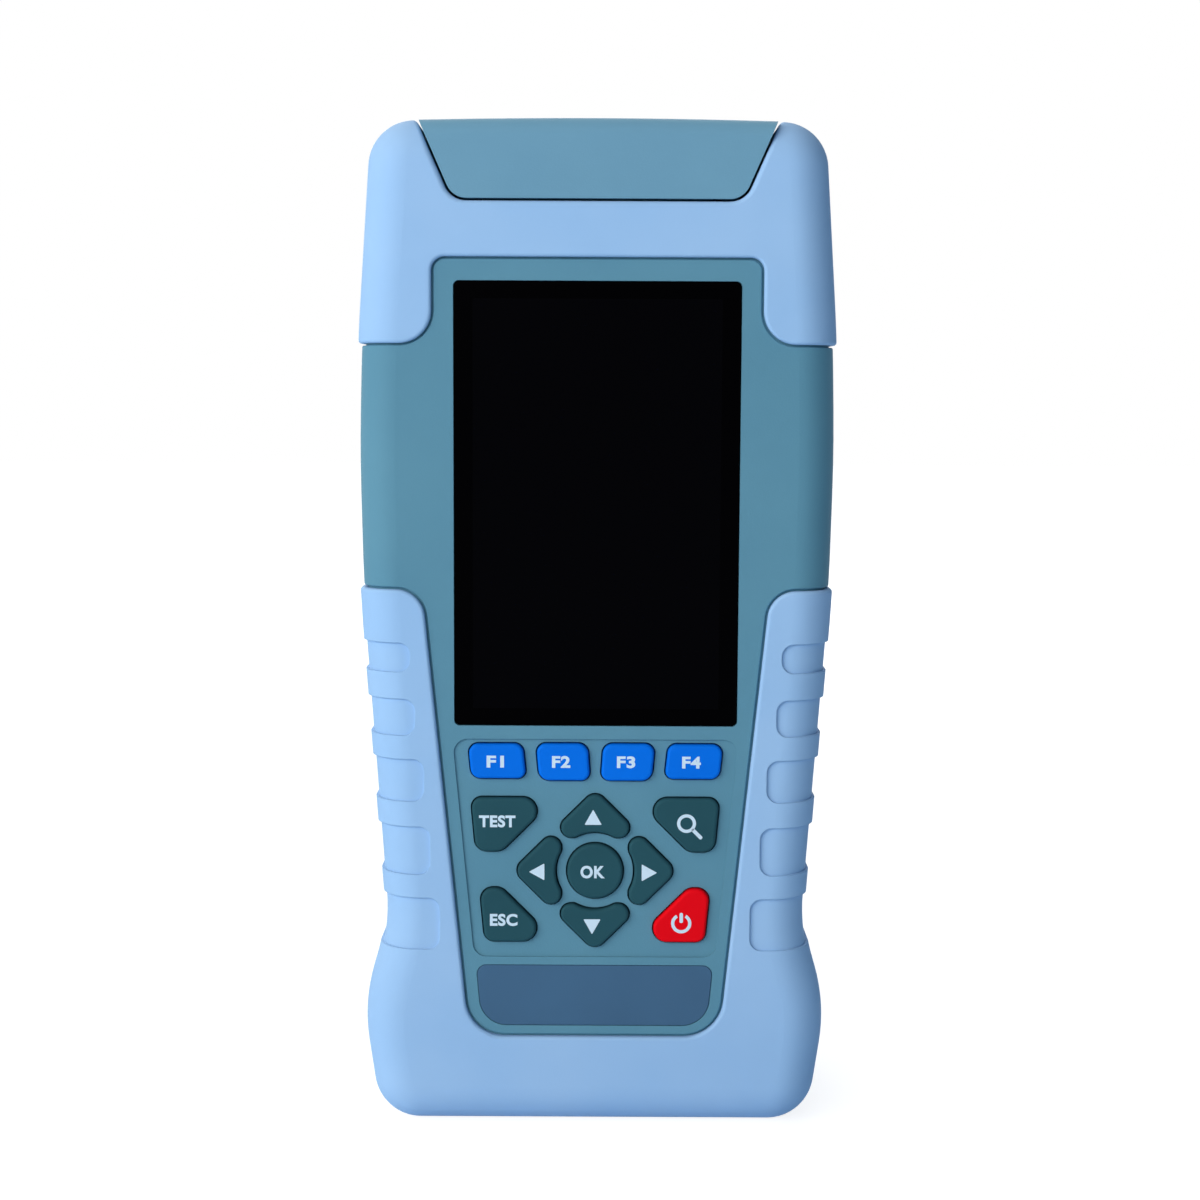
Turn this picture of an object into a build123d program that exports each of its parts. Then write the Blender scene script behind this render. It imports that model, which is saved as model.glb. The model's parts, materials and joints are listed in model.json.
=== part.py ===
# Handheld optical time domain reflectometer, standing on its lower end
# X runs to the right as the user sees the screen, Y runs from the screen to the back,
# Z runs up, and the origin is the middle of the footprint. All lengths are in millimetres.
from build123d import *

import os

# Outline seen from the front: half width, height or drop from the top of each bend, and its rounding
HEIGHT = 218.4
DEPTH = 56.0
FOOT_HALF_WIDTH = 47.6
FOOT_RADIUS = 10.5
BULGE_HALF_WIDTH = 51.4
BULGE_Z = 26.0
WAIST_HALF_WIDTH = 46.2
WAIST_Z = 44.0
BEND_RADIUS = 40.0
PALM_HALF_WIDTH = 51.45
PALM_DROP = 100.4
SIDE_HALF_WIDTH = 52.1
SIDE_DROP = 70.4
SHOULDER_HALF_WIDTH = 51.5
SHOULDER_DROP = 46.4
SIDE_RADIUS = 400.0
CROWN_HALF_WIDTH = 48.4
CROWN_RADIUS = 10.0
EDGE_RADIUS = 9.0

# Layers of the case, each drawn in from the outer surface of the rubber boots
PLATEAU_INSET = 0.85
SEAT_INSET = 1.7
WALL = 2.0
GROOVE = 0.45
SPLIT_Y = 2.0
BOOT_GAP = 0.05
BOOT_EDGE = 0.7
NOTCH_EDGE = 1.1
HORN_TIP_RADIUS = 2.21
HORN_TIP_OUT = 1.95
HORN_TIP_DROP = 2.25
HORN_TIP_LEAN = 0.12
PLATEAU_EDGE = 0.35

# Window between the boots, where the hard case shows
WINDOW_TOP_DROP = 29.0
LEG_HALF_WIDTH = 35.1
LEG_TOP_RADIUS = 2.9
LEG_BOTTOM_DROP = 47.15
LEG_BOTTOM_RADIUS = 7.0
GRIP_TOP_DROP = 99.5
GRIP_TOP_HALF_WIDTH = 37.3
GRIP_TOP_RADIUS = 6.2
WINDOW_BOTTOM_Z = 20.65
GRIP_BOTTOM_HALF_WIDTH = 27.4
GRIP_BOTTOM_RADIUS = 8.8

# Finger recesses in each grip: inner half width, lower and upper height
GRIP_RECESSES = [
    (33.7, 40.2, 51.7),
    (35.7, 56.8, 67.4),
    (37.0, 72.9, 82.2),
    (38.9, 87.3, 95.35),
    (39.9, 101.1, 107.5),
]
RECESS_DEPTH = 0.65
RECESS_CORNER = 2.6

# Notch between the horns, which the port cover closes
COVER_HEIGHT = 16.9
COVER_BOTTOM_HALF = 30.55
COVER_TOP_HALF = 38.0
COVER_CORNER = 4.4
COVER_SEAM = 0.5
COVER_FACE_SINK = 0.4
COVER_WALL = 2.0
COVER_EDGE = 3.5
COVER_CROWN_DROP = 0.5
HINGE_BARREL_R = 4.0
HINGE_BARREL_HALF = 27.0
HINGE_EAR_R = 8.8
HINGE_EAR_GAP = 0.5
HINGE_SIDE_GAP = 0.4
HINGE_PIN_R = 1.0
PIN_CLEARANCE = 0.05
PIN_END_SEAT = 4.0
SCREW_END_ROOM = 0.3
SLOT_SHARE = 0.55

# Screen window and the display behind it
SCREEN_HALF_WIDTH = 30.5
SCREEN_BOTTOM_Z = 89.5
SCREEN_TOP_DROP = 33.95
SCREEN_CORNER = 1.2
LENS_T = 1.1
LENS_TAPE_T = 0.25
LENS_SINK = 0.1
LENS_GAP = 0.12
LENS_EDGE = 0.25
VIEW_SIDE = 4.1
VIEW_END = 3.775
FOAM_T = 0.5
FOAM_RIM = 1.2
LCD_SIDE = 1.9
LCD_END = 0.925
LCD_T = 2.4
BRACKET_T = 1.0
BRACKET_EAR = 4.2
BRACKET_SCREW_OUT = 2.3
BRACKET_SCREW_END = 20.5
BRACKET_BOSS_R = 1.75
BRACKET_OPENING = 8.0
RIBBON_WIDTH = 16.0
RIBBON_T = 0.2
RIBBON_END = 11.5
RIBBON_DROP = 9.0

# Keypad field and name plate
FIELD_DEPTH = 0.4
FIELD_TOP_Z = 86.6
FIELD_TOP_HALF = 30.9
FIELD_BOTTOM_Z = 38.5
FIELD_BOTTOM_HALF = 26.3
FIELD_CORNER = 3.0
PLATE_TOP_Z = 36.6
PLATE_TOP_HALF = 25.8
PLATE_BOTTOM_Z = 23.2
PLATE_BOTTOM_HALF = 24.6
PLATE_TOP_CORNER = 2.0
PLATE_BOTTOM_CORNER = 6.0
PLATE_T = 0.4
PLATE_GAP = 0.12
PLATE_EDGE = 0.15

# Keys: top above the keypad field, travel, the fit of caps in the front shell, and the
# left hand keys' corners with their rounding
KEY_PROUD = 1.2
KEY_TRAVEL = 0.8
KEY_GAP = 0.3
KEY_FLANGE = 0.8
KEY_FLANGE_T = 0.9
KEY_FLANGE_GAP = 0.05
KEY_EDGE = 0.65
KEY_STEM_R = 1.9
KEY_PRESS_GAP = 0.05
MAT_T = 1.0
KEYPAD_BOARD_T = 0.8
OUTER_SOFT_KEY = [
    (-26.75, 78.05, 2.2),
    (-27.5, 85.55, 2.0),
    (-15.75, 85.6, 2.0),
    (-14.95, 78.05, 1.7),
]
INNER_SOFT_KEY = [
    (-12.1, 77.65, 2.4),
    (-12.85, 85.65, 2.0),
    (-1.7, 85.65, 2.2),
    (-1.15, 77.65, 1.8),
]
UPPER_CORNER_KEY = [
    (-25.85, 62.0, 2.6),
    (-26.9, 73.8, 2.2),
    (-8.45, 73.8, 3.0),
    (-20.25, 62.0, 3.0),
]
LOWER_CORNER_KEY = [
    (-23.9, 42.0, 2.2),
    (-25.0, 53.8, 2.6),
    (-20.3, 53.8, 3.0),
    (-8.5, 42.0, 3.0),
]
OK_Z = 57.7
OK_RADIUS = 6.05
ARROW_REACH = 17.85
ARROW_BASE = 7.36
ARROW_TIP_RADIUS = 2.5
ARROW_LOBE_RADIUS = 2.2
ARROW_ARC_RADIUS = 8.55
ARROW_ARC_BLEND = 1.2
MAT_TOP_HALF = 28.9
MAT_BOTTOM_HALF = 26.8
MAT_TOP_Z = 87.5
MAT_BOTTOM_Z = 35.0
MAT_CORNER = 2.0
KEYPAD_BOARD_TOP_HALF = 33.2
KEYPAD_BOARD_BOTTOM_HALF = 31.4
KEYPAD_SCREWS = [(31.0, 76.0), (29.3, 46.0)]
KEYPAD_BOSS_R = 1.75
SMALL_SCREW_R = 0.9
SMALL_HOLE_R = 0.95
SMALL_HEAD_R = 1.7
SMALL_HEAD_H = 1.1
SMALL_SCREW_LENGTH = 3.0

# Main board with its parts, and the optical module behind it
BOARD_GAP = 4.05
BOARD_T = 1.6
BOARD_HALF_WIDTH = 38.4
BOARD_BOTTOM_Z = 28.0
BOARD_TOP_DROP = 32.4
BOARD_SCREW_X = 36.0
BOARD_SCREW_LOW_Z = 40.0
BOARD_SCREW_MID_Z = 98.0
BOARD_SCREW_TOP_DROP = 36.4
BOARD_BOSS_R = 2.3
SHIELD_SIZE = (30.0, 3.2, 34.0)
SHIELD_X = -14.0
SHIELD_Z = 84.0
SHIELD_EDGE = 0.6
CHIP_SIZE = (14.0, 1.4, 14.0)
CHIP_PLACES = [(18.0, 92.0), (18.0, 70.0), (-14.0, 52.0)]
BUZZER_R = 6.0
BUZZER_T = 4.0
BUZZER_HOLE_R = 1.0
BUZZER_HOLE_DEPTH = 1.5
BUZZER_X = 20.0
BUZZER_Z = 46.0
MODULE_WIDTH = 62.0
MODULE_T = 17.0
MODULE_OVER_BAY = 12.8
MODULE_TOP_DROP = 52.4
SPACER_LENGTH = 5.0
MODULE_EDGE = 1.0
SPACER_R = 2.6
SPACER_INSET = 5.0

# Battery bay, cells, contacts and door
CELL_R = 9.2
CELL_LENGTH = 65.0
CELL_GAP = 0.6
BAY_BOTTOM_Z = 25.0
BAY_END_ROOM = 2.6
BAY_CLEARANCE = 0.5
BAY_WALL = 1.5
CONTACT_T = 0.4
CONTACT_HALF = 5.0
CONTACT_SPRING_R = 2.6
CONTACT_GAP = 0.1
CELL_NUB_R = 3.2
CELL_NUB_H = 0.8
CELL_EDGE = 0.6
DOOR_T = 2.2
DOOR_LEDGE = 2.2
DOOR_SCREW_BAND = 6.6
DOOR_GAP = 0.25
DOOR_CORNER = 2.5
DOOR_SCREW_R = 1.5
DOOR_SCREW_HEAD_R = 2.9
DOOR_SCREW_HEAD_H = 1.3
DOOR_SCREW_LENGTH = 7.0
DOOR_RIBS = 7
DOOR_RIB_PITCH = 4.0
DOOR_RIB_DEPTH = 0.5
DOOR_RIB_HALF = 8.0
DOOR_RIB_START = 6.0
DOOR_EDGE = 0.4

# Desk stand in the back
STAND_HALF_WIDTH = 21.8
STAND_OVER_DOOR = 11.7
STAND_T = 3.2
STAND_RECESS_DEPTH = 4.6
STAND_SIDE_GAP = 0.4
STAND_SINK = 0.4
STAND_HINGE_DROP = 44.9
STAND_HINGE_R = 1.6
STAND_PIN_R = 0.75
STAND_HEADROOM = 3.4
STAND_FINGER_GAP = 7.5
STAND_CORNER = 3.0
STAND_WINDOW_INSET = 9.0
STAND_WINDOW_DEPTH = 1.0
STAND_PAD_H = 5.0
STAND_PAD_T = 0.6

# Port deck in the notch and its sockets
DECK_HALF_WIDTH = 25.0
DECK_FRONT_ROOM = 6.5
DECK_HINGE_ROOM = 10.6
DECK_T = 1.4
DECK_GASKET_T = 0.4
DECK_CORNER = 3.0
DECK_LIP = 3.6
DECK_SCREW_INSET = 2.6
FERRULE_HOLE_R = 1.26
SLEEVE_R = 1.65
SLEEVE_LENGTH = 11.0
SLEEVE_GAP = 0.03
SLEEVE_SEAT = 1.4
ADAPTER_FLANGE = 11.0
ADAPTER_FLANGE_T = 2.0
ADAPTER_FLANGE_CORNER = 1.0
ADAPTER_SCREW_INSET = 1.4
TINY_SCREW_R = 0.6
TINY_HOLE_R = 0.65
TINY_HEAD_R = 1.1
TINY_HEAD_H = 0.7
ADAPTER_BARREL_R = 4.0
ADAPTER_BARREL_H = 6.4
ADAPTER_BORE_R = 2.6
ADAPTER_TAIL_R = 3.4
ADAPTER_TAIL_L = 7.0
ADAPTER_X = [-15.5, 0.0, 15.5]
ADAPTER_INSET = 10.5
USB_X = -11.0
USB_WIDTH = 14.5
USB_HEIGHT = 7.2
USB_LENGTH = 14.0
USB_PROUD = 1.0
USB_WALL = 0.4
USB_TONGUE_T = 1.9
USB_TONGUE_WIDTH = 11.0
USB_TONGUE_OFFSET = 1.4
USB_TONGUE_SINK = 1.0
USB_BASE_H = 3.0
SOCKET_INSET = 8.0
JACK_X = 12.0
JACK_R = 4.2
JACK_HOLE_R = 2.75
JACK_PIN_R = 1.05
JACK_LENGTH = 12.0
JACK_DEPTH = 9.0
JACK_PROUD = 1.2
JACK_PIN_SINK = 1.0
SOCKET_CLEARANCE = 0.1
LEAD_R = 0.9
LASER_R = 3.0
LASER_LENGTH = 14.0
DETECTOR_R = 3.0
DETECTOR_LENGTH = 6.0
LEAD_RUN = 8.8
LEAD_BEND = 20.0

# Case screws, their bosses and the seal in the split
BOSS_R = 4.4
BOSS_SINK = 0.6
BOSS_ROOT = 0.5
SEAM_DEPTH = 0.35
SEAM_HALF = 0.15
CASE_SCREW_LOW_Z = 14.0
CASE_SCREW_MID_DROP = 108.4
CASE_SCREW_TOP_DROP = 28.4
CASE_SCREW_R = 1.5
CASE_SCREW_HOLE_R = 1.6
CASE_HEAD_R = 2.7
CASE_HEAD_H = 2.4
CASE_HEAD_WALL = 2.0
CASE_SCREW_LENGTH = 12.0
COUNTERBORE_GAP = 0.25
SEAL_WIDTH = 0.8
SEAL_T = 0.8
SEAL_GAP = 0.05

# Worked out depths and heights
FRONT_Y = -DEPTH / 2
BACK_Y = DEPTH / 2
PLATEAU_Y = FRONT_Y + PLATEAU_INSET
SEAT_Y = FRONT_Y + SEAT_INSET
INNER_Y = SEAT_Y + WALL
FIELD_Y = PLATEAU_Y + FIELD_DEPTH
REAR_PLATEAU_Y = BACK_Y - PLATEAU_INSET
REAR_INNER_Y = BACK_Y - SEAT_INSET - WALL
LENS_Y = PLATEAU_Y + LENS_SINK
TAPE_Y = LENS_Y + LENS_T
POCKET_Y = TAPE_Y + LENS_TAPE_T
PALM_Z = HEIGHT - PALM_DROP
SIDE_Z = HEIGHT - SIDE_DROP
SHOULDER_Z = HEIGHT - SHOULDER_DROP
WINDOW_TOP_Z = HEIGHT - WINDOW_TOP_DROP
LEG_BOTTOM_Z = HEIGHT - LEG_BOTTOM_DROP
GRIP_TOP_Z = HEIGHT - GRIP_TOP_DROP
BOOT_SPLIT_Z = (GRIP_TOP_Z + LEG_BOTTOM_Z) / 2
COVER_BOTTOM_Z = HEIGHT - COVER_HEIGHT
SCREEN_TOP_Z = HEIGHT - SCREEN_TOP_DROP
SCREEN_MID_Z = (SCREEN_BOTTOM_Z + SCREEN_TOP_Z) / 2
SCREEN_WIDTH = 2 * SCREEN_HALF_WIDTH
SCREEN_HEIGHT = SCREEN_TOP_Z - SCREEN_BOTTOM_Z
VIEW_WIDTH = SCREEN_WIDTH - 2 * VIEW_SIDE
VIEW_HEIGHT = SCREEN_HEIGHT - 2 * VIEW_END
LCD_WIDTH = SCREEN_WIDTH - 2 * LCD_SIDE
LCD_HEIGHT = SCREEN_HEIGHT + 2 * LCD_END
BRACKET_WIDTH = LCD_WIDTH + 2 * BRACKET_EAR
BRACKET_SCREW_X = LCD_WIDTH / 2 + BRACKET_SCREW_OUT
BRACKET_SCREW_Z = [SCREEN_BOTTOM_Z + BRACKET_SCREW_END, SCREEN_TOP_Z - BRACKET_SCREW_END]
LCD_Y = INNER_Y + FOAM_T
BRACKET_Y = LCD_Y + LCD_T
KEY_TOP_Y = FIELD_Y - KEY_PROUD
FLANGE_Y = INNER_Y + KEY_FLANGE_GAP
MAT_Y = FLANGE_Y + KEY_FLANGE_T + KEY_TRAVEL + 2 * KEY_PRESS_GAP
KEYPAD_BOARD_Y = MAT_Y + MAT_T
BOARD_Y = KEYPAD_BOARD_Y + KEYPAD_BOARD_T + BOARD_GAP
BOARD_BACK_Y = BOARD_Y + BOARD_T
BOARD_TOP_Z = HEIGHT - BOARD_TOP_DROP
BOARD_SCREWS = [
    (BOARD_SCREW_X, BOARD_SCREW_LOW_Z),
    (BOARD_SCREW_X, BOARD_SCREW_MID_Z),
    (BOARD_SCREW_X, HEIGHT - BOARD_SCREW_TOP_DROP),
]
CASE_SCREW_Z = [CASE_SCREW_LOW_Z, HEIGHT - CASE_SCREW_MID_DROP, HEIGHT - CASE_SCREW_TOP_DROP]
CASE_HEAD_SEAT = SPLIT_Y + CASE_HEAD_WALL
NOTCH_FLOOR_Z = COVER_BOTTOM_Z - COVER_SEAM
FLOOR_UNDER_Z = NOTCH_FLOOR_Z - WALL
HINGE_Z = NOTCH_FLOOR_Z + HINGE_BARREL_R + COVER_SEAM
COVER_FRONT_Y = FRONT_Y + COVER_FACE_SINK
COVER_BACK_Y = BACK_Y - COVER_FACE_SINK
HINGE_Y = COVER_BACK_Y - HINGE_BARREL_R
DECK_FRONT_Y = FRONT_Y + DECK_FRONT_ROOM
DECK_BACK_Y = HINGE_Y - DECK_HINGE_ROOM
ADAPTER_Y = DECK_FRONT_Y + ADAPTER_INSET
SOCKET_Y = DECK_BACK_Y - SOCKET_INSET
DECK_Z = NOTCH_FLOOR_Z + DECK_GASKET_T
DECK_TOP_Z = DECK_Z + DECK_T
ADAPTER_TOP_Z = DECK_TOP_Z + ADAPTER_FLANGE_T + ADAPTER_BARREL_H
SLEEVE_BOTTOM_Z = DECK_Z - ADAPTER_TAIL_L + SLEEVE_SEAT
BAY_HALF_WIDTH = 2 * CELL_R + CELL_GAP / 2 + BAY_CLEARANCE
BAY_TOP_Z = BAY_BOTTOM_Z + CELL_LENGTH + 2 * BAY_END_ROOM
DOOR_INNER_Y = REAR_PLATEAU_Y - DOOR_T
BAY_BACK_Y = DOOR_INNER_Y
CELL_Y = BAY_BACK_Y - BAY_CLEARANCE - CELL_R
BAY_FLOOR_Y = CELL_Y - CELL_R - BAY_CLEARANCE
DOOR_HALF_WIDTH = BAY_HALF_WIDTH + DOOR_LEDGE
DOOR_BOTTOM_Z = BAY_BOTTOM_Z - DOOR_LEDGE
DOOR_TOP_Z = BAY_TOP_Z + DOOR_SCREW_BAND
STAND_BACK_Y = REAR_PLATEAU_Y - STAND_SINK
STAND_FLOOR_Y = REAR_PLATEAU_Y - STAND_RECESS_DEPTH
STAND_HINGE_Y = STAND_BACK_Y - STAND_T / 2
STAND_HINGE_Z = HEIGHT - STAND_HINGE_DROP
STAND_TIP_Z = DOOR_TOP_Z + STAND_OVER_DOOR
STAND_LENGTH = STAND_HINGE_Z - STAND_TIP_Z
STAND_RECESS_BOTTOM_Z = STAND_TIP_Z - STAND_FINGER_GAP
STAND_RECESS_TOP_Z = STAND_HINGE_Z + STAND_HEADROOM
MODULE_Y = BOARD_BACK_Y + SPACER_LENGTH
MODULE_BOTTOM_Z = BAY_TOP_Z + MODULE_OVER_BAY
MODULE_TOP_Z = HEIGHT - MODULE_TOP_DROP
FAR = 2 * HEIGHT
OVER = 1.0


def polygon(corners):
    """Face from corners given as x, z and rounding radius."""
    points = [(x, z) for x, z, radius in corners]
    radii = [radius for x, z, radius in corners]
    return make_face(FilletPolyline(*points, radius=radii, close=True))


def symmetric(corners):
    """Face from the right hand corners, bottom to top, and their mirror image."""
    mirrored = [(-x, z, radius) for x, z, radius in reversed(corners)]
    return polygon(corners + mirrored)


def prism(face, y_front, y_back):
    """Front view face pulled into a solid between two depths."""
    plane = Plane(origin=(0, y_back, 0), x_dir=(1, 0, 0), z_dir=(0, -1, 0))
    return extrude(plane * face, amount=y_back - y_front)


def block(x0, x1, y0, y1, z0, z1):
    """Box from its lowest and highest corners."""
    centre = Pos((x0 + x1) / 2, (y0 + y1) / 2, (z0 + z1) / 2)
    return centre * Box(x1 - x0, y1 - y0, z1 - z0)


def rod(radius, start, end):
    """Cylinder between two points."""
    axis = Vector(*end) - Vector(*start)
    plane = Plane(origin=start, z_dir=axis)
    return extrude(plane * Circle(radius), amount=axis.length)


def rod_y(radius, x, z, y0, y1):
    """Cylinder along the depth."""
    return rod(radius, (x, y0, z), (x, y1, z))


def rod_z(radius, x, y, z0, z1):
    """Upright cylinder."""
    return rod(radius, (x, y, z0), (x, y, z1))


def both_sides(places):
    """Each place and its mirror image across the centre line."""
    return [(side * x, z) for x, z in places for side in (1, -1)]


def outline():
    """Outer front outline of the boots."""
    return symmetric([
        (FOOT_HALF_WIDTH, 0, FOOT_RADIUS),
        (BULGE_HALF_WIDTH, BULGE_Z, BEND_RADIUS),
        (WAIST_HALF_WIDTH, WAIST_Z, BEND_RADIUS),
        (PALM_HALF_WIDTH, PALM_Z, SIDE_RADIUS),
        (SIDE_HALF_WIDTH, SIDE_Z, SIDE_RADIUS),
        (SHOULDER_HALF_WIDTH, SHOULDER_Z, SIDE_RADIUS),
        (CROWN_HALF_WIDTH, HEIGHT, CROWN_RADIUS),
    ])


def half_width(z):
    """Half width of the outer outline at a height, by straight lines between the bends."""
    bends = [
        (0, FOOT_HALF_WIDTH),
        (BULGE_Z, BULGE_HALF_WIDTH),
        (WAIST_Z, WAIST_HALF_WIDTH),
        (PALM_Z, PALM_HALF_WIDTH),
        (SIDE_Z, SIDE_HALF_WIDTH),
        (SHOULDER_Z, SHOULDER_HALF_WIDTH),
        (HEIGHT, CROWN_HALF_WIDTH),
    ]
    for (z0, x0), (z1, x1) in zip(bends, bends[1:]):
        if z <= z1:
            return x0 + (x1 - x0) * (z - z0) / (z1 - z0)
    return CROWN_HALF_WIDTH


def inset_outline(inset):
    """Outer outline drawn in by an even distance."""
    return offset(outline(), amount=-inset) if inset else outline()


def envelope(inset):
    """Outer body drawn in by an even distance, with its rounded front and back edges."""
    body = prism(inset_outline(inset), FRONT_Y + inset, BACK_Y - inset)
    rims = body.edges().group_by(Axis.Y)
    return fillet(rims[0] + rims[-1], EDGE_RADIUS - inset)


def window(shrink=0.0):
    """Opening between the boots, running out past both sides."""
    face = symmetric([
        (GRIP_BOTTOM_HALF_WIDTH, WINDOW_BOTTOM_Z, GRIP_BOTTOM_RADIUS),
        (GRIP_TOP_HALF_WIDTH, GRIP_TOP_Z, GRIP_TOP_RADIUS),
        (FAR, GRIP_TOP_Z, 0),
        (FAR, LEG_BOTTOM_Z, 0),
        (LEG_HALF_WIDTH, LEG_BOTTOM_Z, LEG_BOTTOM_RADIUS),
        (LEG_HALF_WIDTH, WINDOW_TOP_Z, LEG_TOP_RADIUS),
    ])
    return offset(face, amount=-shrink) if shrink else face


def cover_half(z):
    """Half width of the port cover at a height."""
    rise = (z - COVER_BOTTOM_Z) / (HEIGHT - COVER_BOTTOM_Z)
    return COVER_BOTTOM_HALF + (COVER_TOP_HALF - COVER_BOTTOM_HALF) * rise


def notch(grow):
    """Front view of the cover's notch, grown by an even distance and open at the top."""
    over = HEIGHT + CROWN_RADIUS
    face = symmetric([
        (COVER_BOTTOM_HALF, COVER_BOTTOM_Z, COVER_CORNER),
        (cover_half(over), over, 0),
    ])
    return offset(face, amount=grow)


def core():
    """Solid that the two shells are cut from: boot seats with the raised plateau."""
    return envelope(SEAT_INSET) + raised_plateau() - prism(notch(COVER_SEAM), -FAR, FAR)


def cavity():
    """Hollow inside the two shells."""
    hollow = envelope(SEAT_INSET + WALL)
    return hollow - prism(notch(COVER_SEAM + WALL), -FAR, FAR)


def case_screw_places():
    """Centre of each case screw, against the side walls."""
    return both_sides([
        (half_width(z) - SEAT_INSET - WALL - BOSS_R + BOSS_SINK, z) for z in CASE_SCREW_Z
    ])


def screen_face(grow=0.0):
    """Front view of the screen window."""
    width = 2 * (SCREEN_HALF_WIDTH + grow)
    height = SCREEN_TOP_Z - SCREEN_BOTTOM_Z + 2 * grow
    return Pos(0, SCREEN_MID_Z) * RectangleRounded(width, height, SCREEN_CORNER)


def view_face():
    """Front view of the opening that the display is seen through."""
    return Pos(0, SCREEN_MID_Z) * Rectangle(VIEW_WIDTH, VIEW_HEIGHT)


def field_face():
    """Front view of the sunk keypad field."""
    return symmetric([
        (FIELD_BOTTOM_HALF, FIELD_BOTTOM_Z, FIELD_CORNER),
        (FIELD_TOP_HALF, FIELD_TOP_Z, FIELD_CORNER),
    ])


def plate_face(grow=0.0):
    """Front view of the name plate."""
    face = symmetric([
        (PLATE_BOTTOM_HALF, PLATE_BOTTOM_Z, PLATE_BOTTOM_CORNER),
        (PLATE_TOP_HALF, PLATE_TOP_Z, PLATE_TOP_CORNER),
    ])
    return offset(face, amount=grow) if grow else face


def arrow_face(turn):
    """Arrow key beside the round key, turned about its centre in degrees."""
    tip = polygon([
        (0, ARROW_REACH, ARROW_TIP_RADIUS),
        (-(ARROW_REACH - ARROW_BASE), ARROW_BASE, ARROW_LOBE_RADIUS),
        (ARROW_REACH - ARROW_BASE, ARROW_BASE, ARROW_LOBE_RADIUS),
    ])
    face = tip - Circle(ARROW_ARC_RADIUS)
    inner = face.vertices().sort_by(lambda v: abs(v.X) + abs(v.Y - ARROW_BASE))[:2]
    face = fillet(inner, ARROW_ARC_BLEND)
    return Pos(0, OK_Z) * Rot(0, 0, turn) * face


def flipped(corners):
    """Mirror image of a corner list across the centre line."""
    return [(-x, z, radius) for x, z, radius in reversed(corners)]


def key_faces():
    """Front view of each key by node name."""
    return {
        "key_f1": polygon(OUTER_SOFT_KEY),
        "key_f2": polygon(INNER_SOFT_KEY),
        "key_f3": polygon(flipped(INNER_SOFT_KEY)),
        "key_f4": polygon(flipped(OUTER_SOFT_KEY)),
        "key_test": polygon(UPPER_CORNER_KEY),
        "key_zoom": polygon(flipped(UPPER_CORNER_KEY)),
        "key_escape": polygon(LOWER_CORNER_KEY),
        "key_power": polygon(flipped(LOWER_CORNER_KEY)),
        "key_up": arrow_face(0),
        "key_left": arrow_face(90),
        "key_down": arrow_face(180),
        "key_right": arrow_face(270),
        "key_ok": Pos(0, OK_Z) * Circle(OK_RADIUS),
    }


def key(face):
    """Key cap with its flange behind the front wall and a stem that presses the mat."""
    cap = prism(face, KEY_TOP_Y, FLANGE_Y)
    cap = fillet(cap.edges().group_by(Axis.Y)[0], KEY_EDGE)
    flange = prism(offset(face, amount=KEY_FLANGE), FLANGE_Y, FLANGE_Y + KEY_FLANGE_T)
    centre = face.faces()[0].center(CenterOf.MASS)
    stem_end = FLANGE_Y + KEY_FLANGE_T + KEY_PRESS_GAP
    stem = rod_y(KEY_STEM_R, centre.X, centre.Y, FLANGE_Y, stem_end)
    return cap + flange + stem


def rim_edges(solid, face):
    """Edges of a solid over the border of a front view face, but not those along the depth."""
    border = face.faces()[0].outer_wire()
    rims = []
    for edge in solid.edges():
        start = edge.position_at(0)
        middle = edge.position_at(0.5)
        end = edge.position_at(1)
        moves = abs(start.X - middle.X) + abs(start.Z - middle.Z)
        moves += abs(end.X - middle.X) + abs(end.Z - middle.Z)
        if moves > 0.001 and border.distance_to(Vertex(middle.X, middle.Z, 0)) < 0.001:
            rims.append(edge)
    return rims


def raised_plateau():
    """The hard case's raised face between the boots, with its eased rim."""
    face = window(GROOVE)
    raised = envelope(PLATEAU_INSET) & prism(face, -FAR, FAR)
    return fillet(rim_edges(raised, face), PLATEAU_EDGE)


def horn_tips():
    """Front view of what rounds the inner corner off each horn's tip."""
    x = COVER_TOP_HALF + HORN_TIP_OUT
    z = HEIGHT - HORN_TIP_DROP
    top = HEIGHT + OVER
    side = 2 * HORN_TIP_RADIUS
    slant = (COVER_TOP_HALF - COVER_BOTTOM_HALF) / COVER_HEIGHT
    corner = polygon([
        (x, z, 0),
        (x + HORN_TIP_LEAN * (top - z), top, 0),
        (x - side, top, 0),
        (x - side, z + side * slant, 0),
    ])
    tip = corner - Pos(x, z) * Circle(HORN_TIP_RADIUS)
    return tip, mirror(tip, about=Plane.YZ)


def boots():
    """Both rubber boots as one solid skin, before they are parted."""
    opening = window()
    gap = notch(COVER_SEAM)
    skin = envelope(0) - prism(opening, -FAR, FAR) - prism(gap, -FAR, FAR)
    skin = fillet(rim_edges(skin, opening), BOOT_EDGE)
    skin = fillet(rim_edges(skin, gap), NOTCH_EDGE)
    for tip in horn_tips():
        skin -= prism(tip, -FAR, FAR)
    return skin - envelope(SEAT_INSET - BOOT_GAP)


def upper_boot(skin):
    """Boot over the horns and the bar above the screen."""
    return skin & block(-FAR, FAR, -FAR, FAR, BOOT_SPLIT_Z, FAR)


def lower_boot(skin):
    """Boot over the grips and the foot, with its finger recesses."""
    boot = skin & block(-FAR, FAR, -FAR, FAR, -FAR, BOOT_SPLIT_Z)
    floor = envelope(RECESS_DEPTH)
    for inner, low, high in GRIP_RECESSES:
        face = polygon([
            (inner, low, RECESS_CORNER),
            (FAR, low, 0),
            (FAR, high, 0),
            (inner, high, RECESS_CORNER),
        ])
        cutter = prism(face, -FAR, FAR) - floor
        boot -= cutter
        boot -= mirror(cutter, about=Plane.YZ)
    return boot


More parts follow.
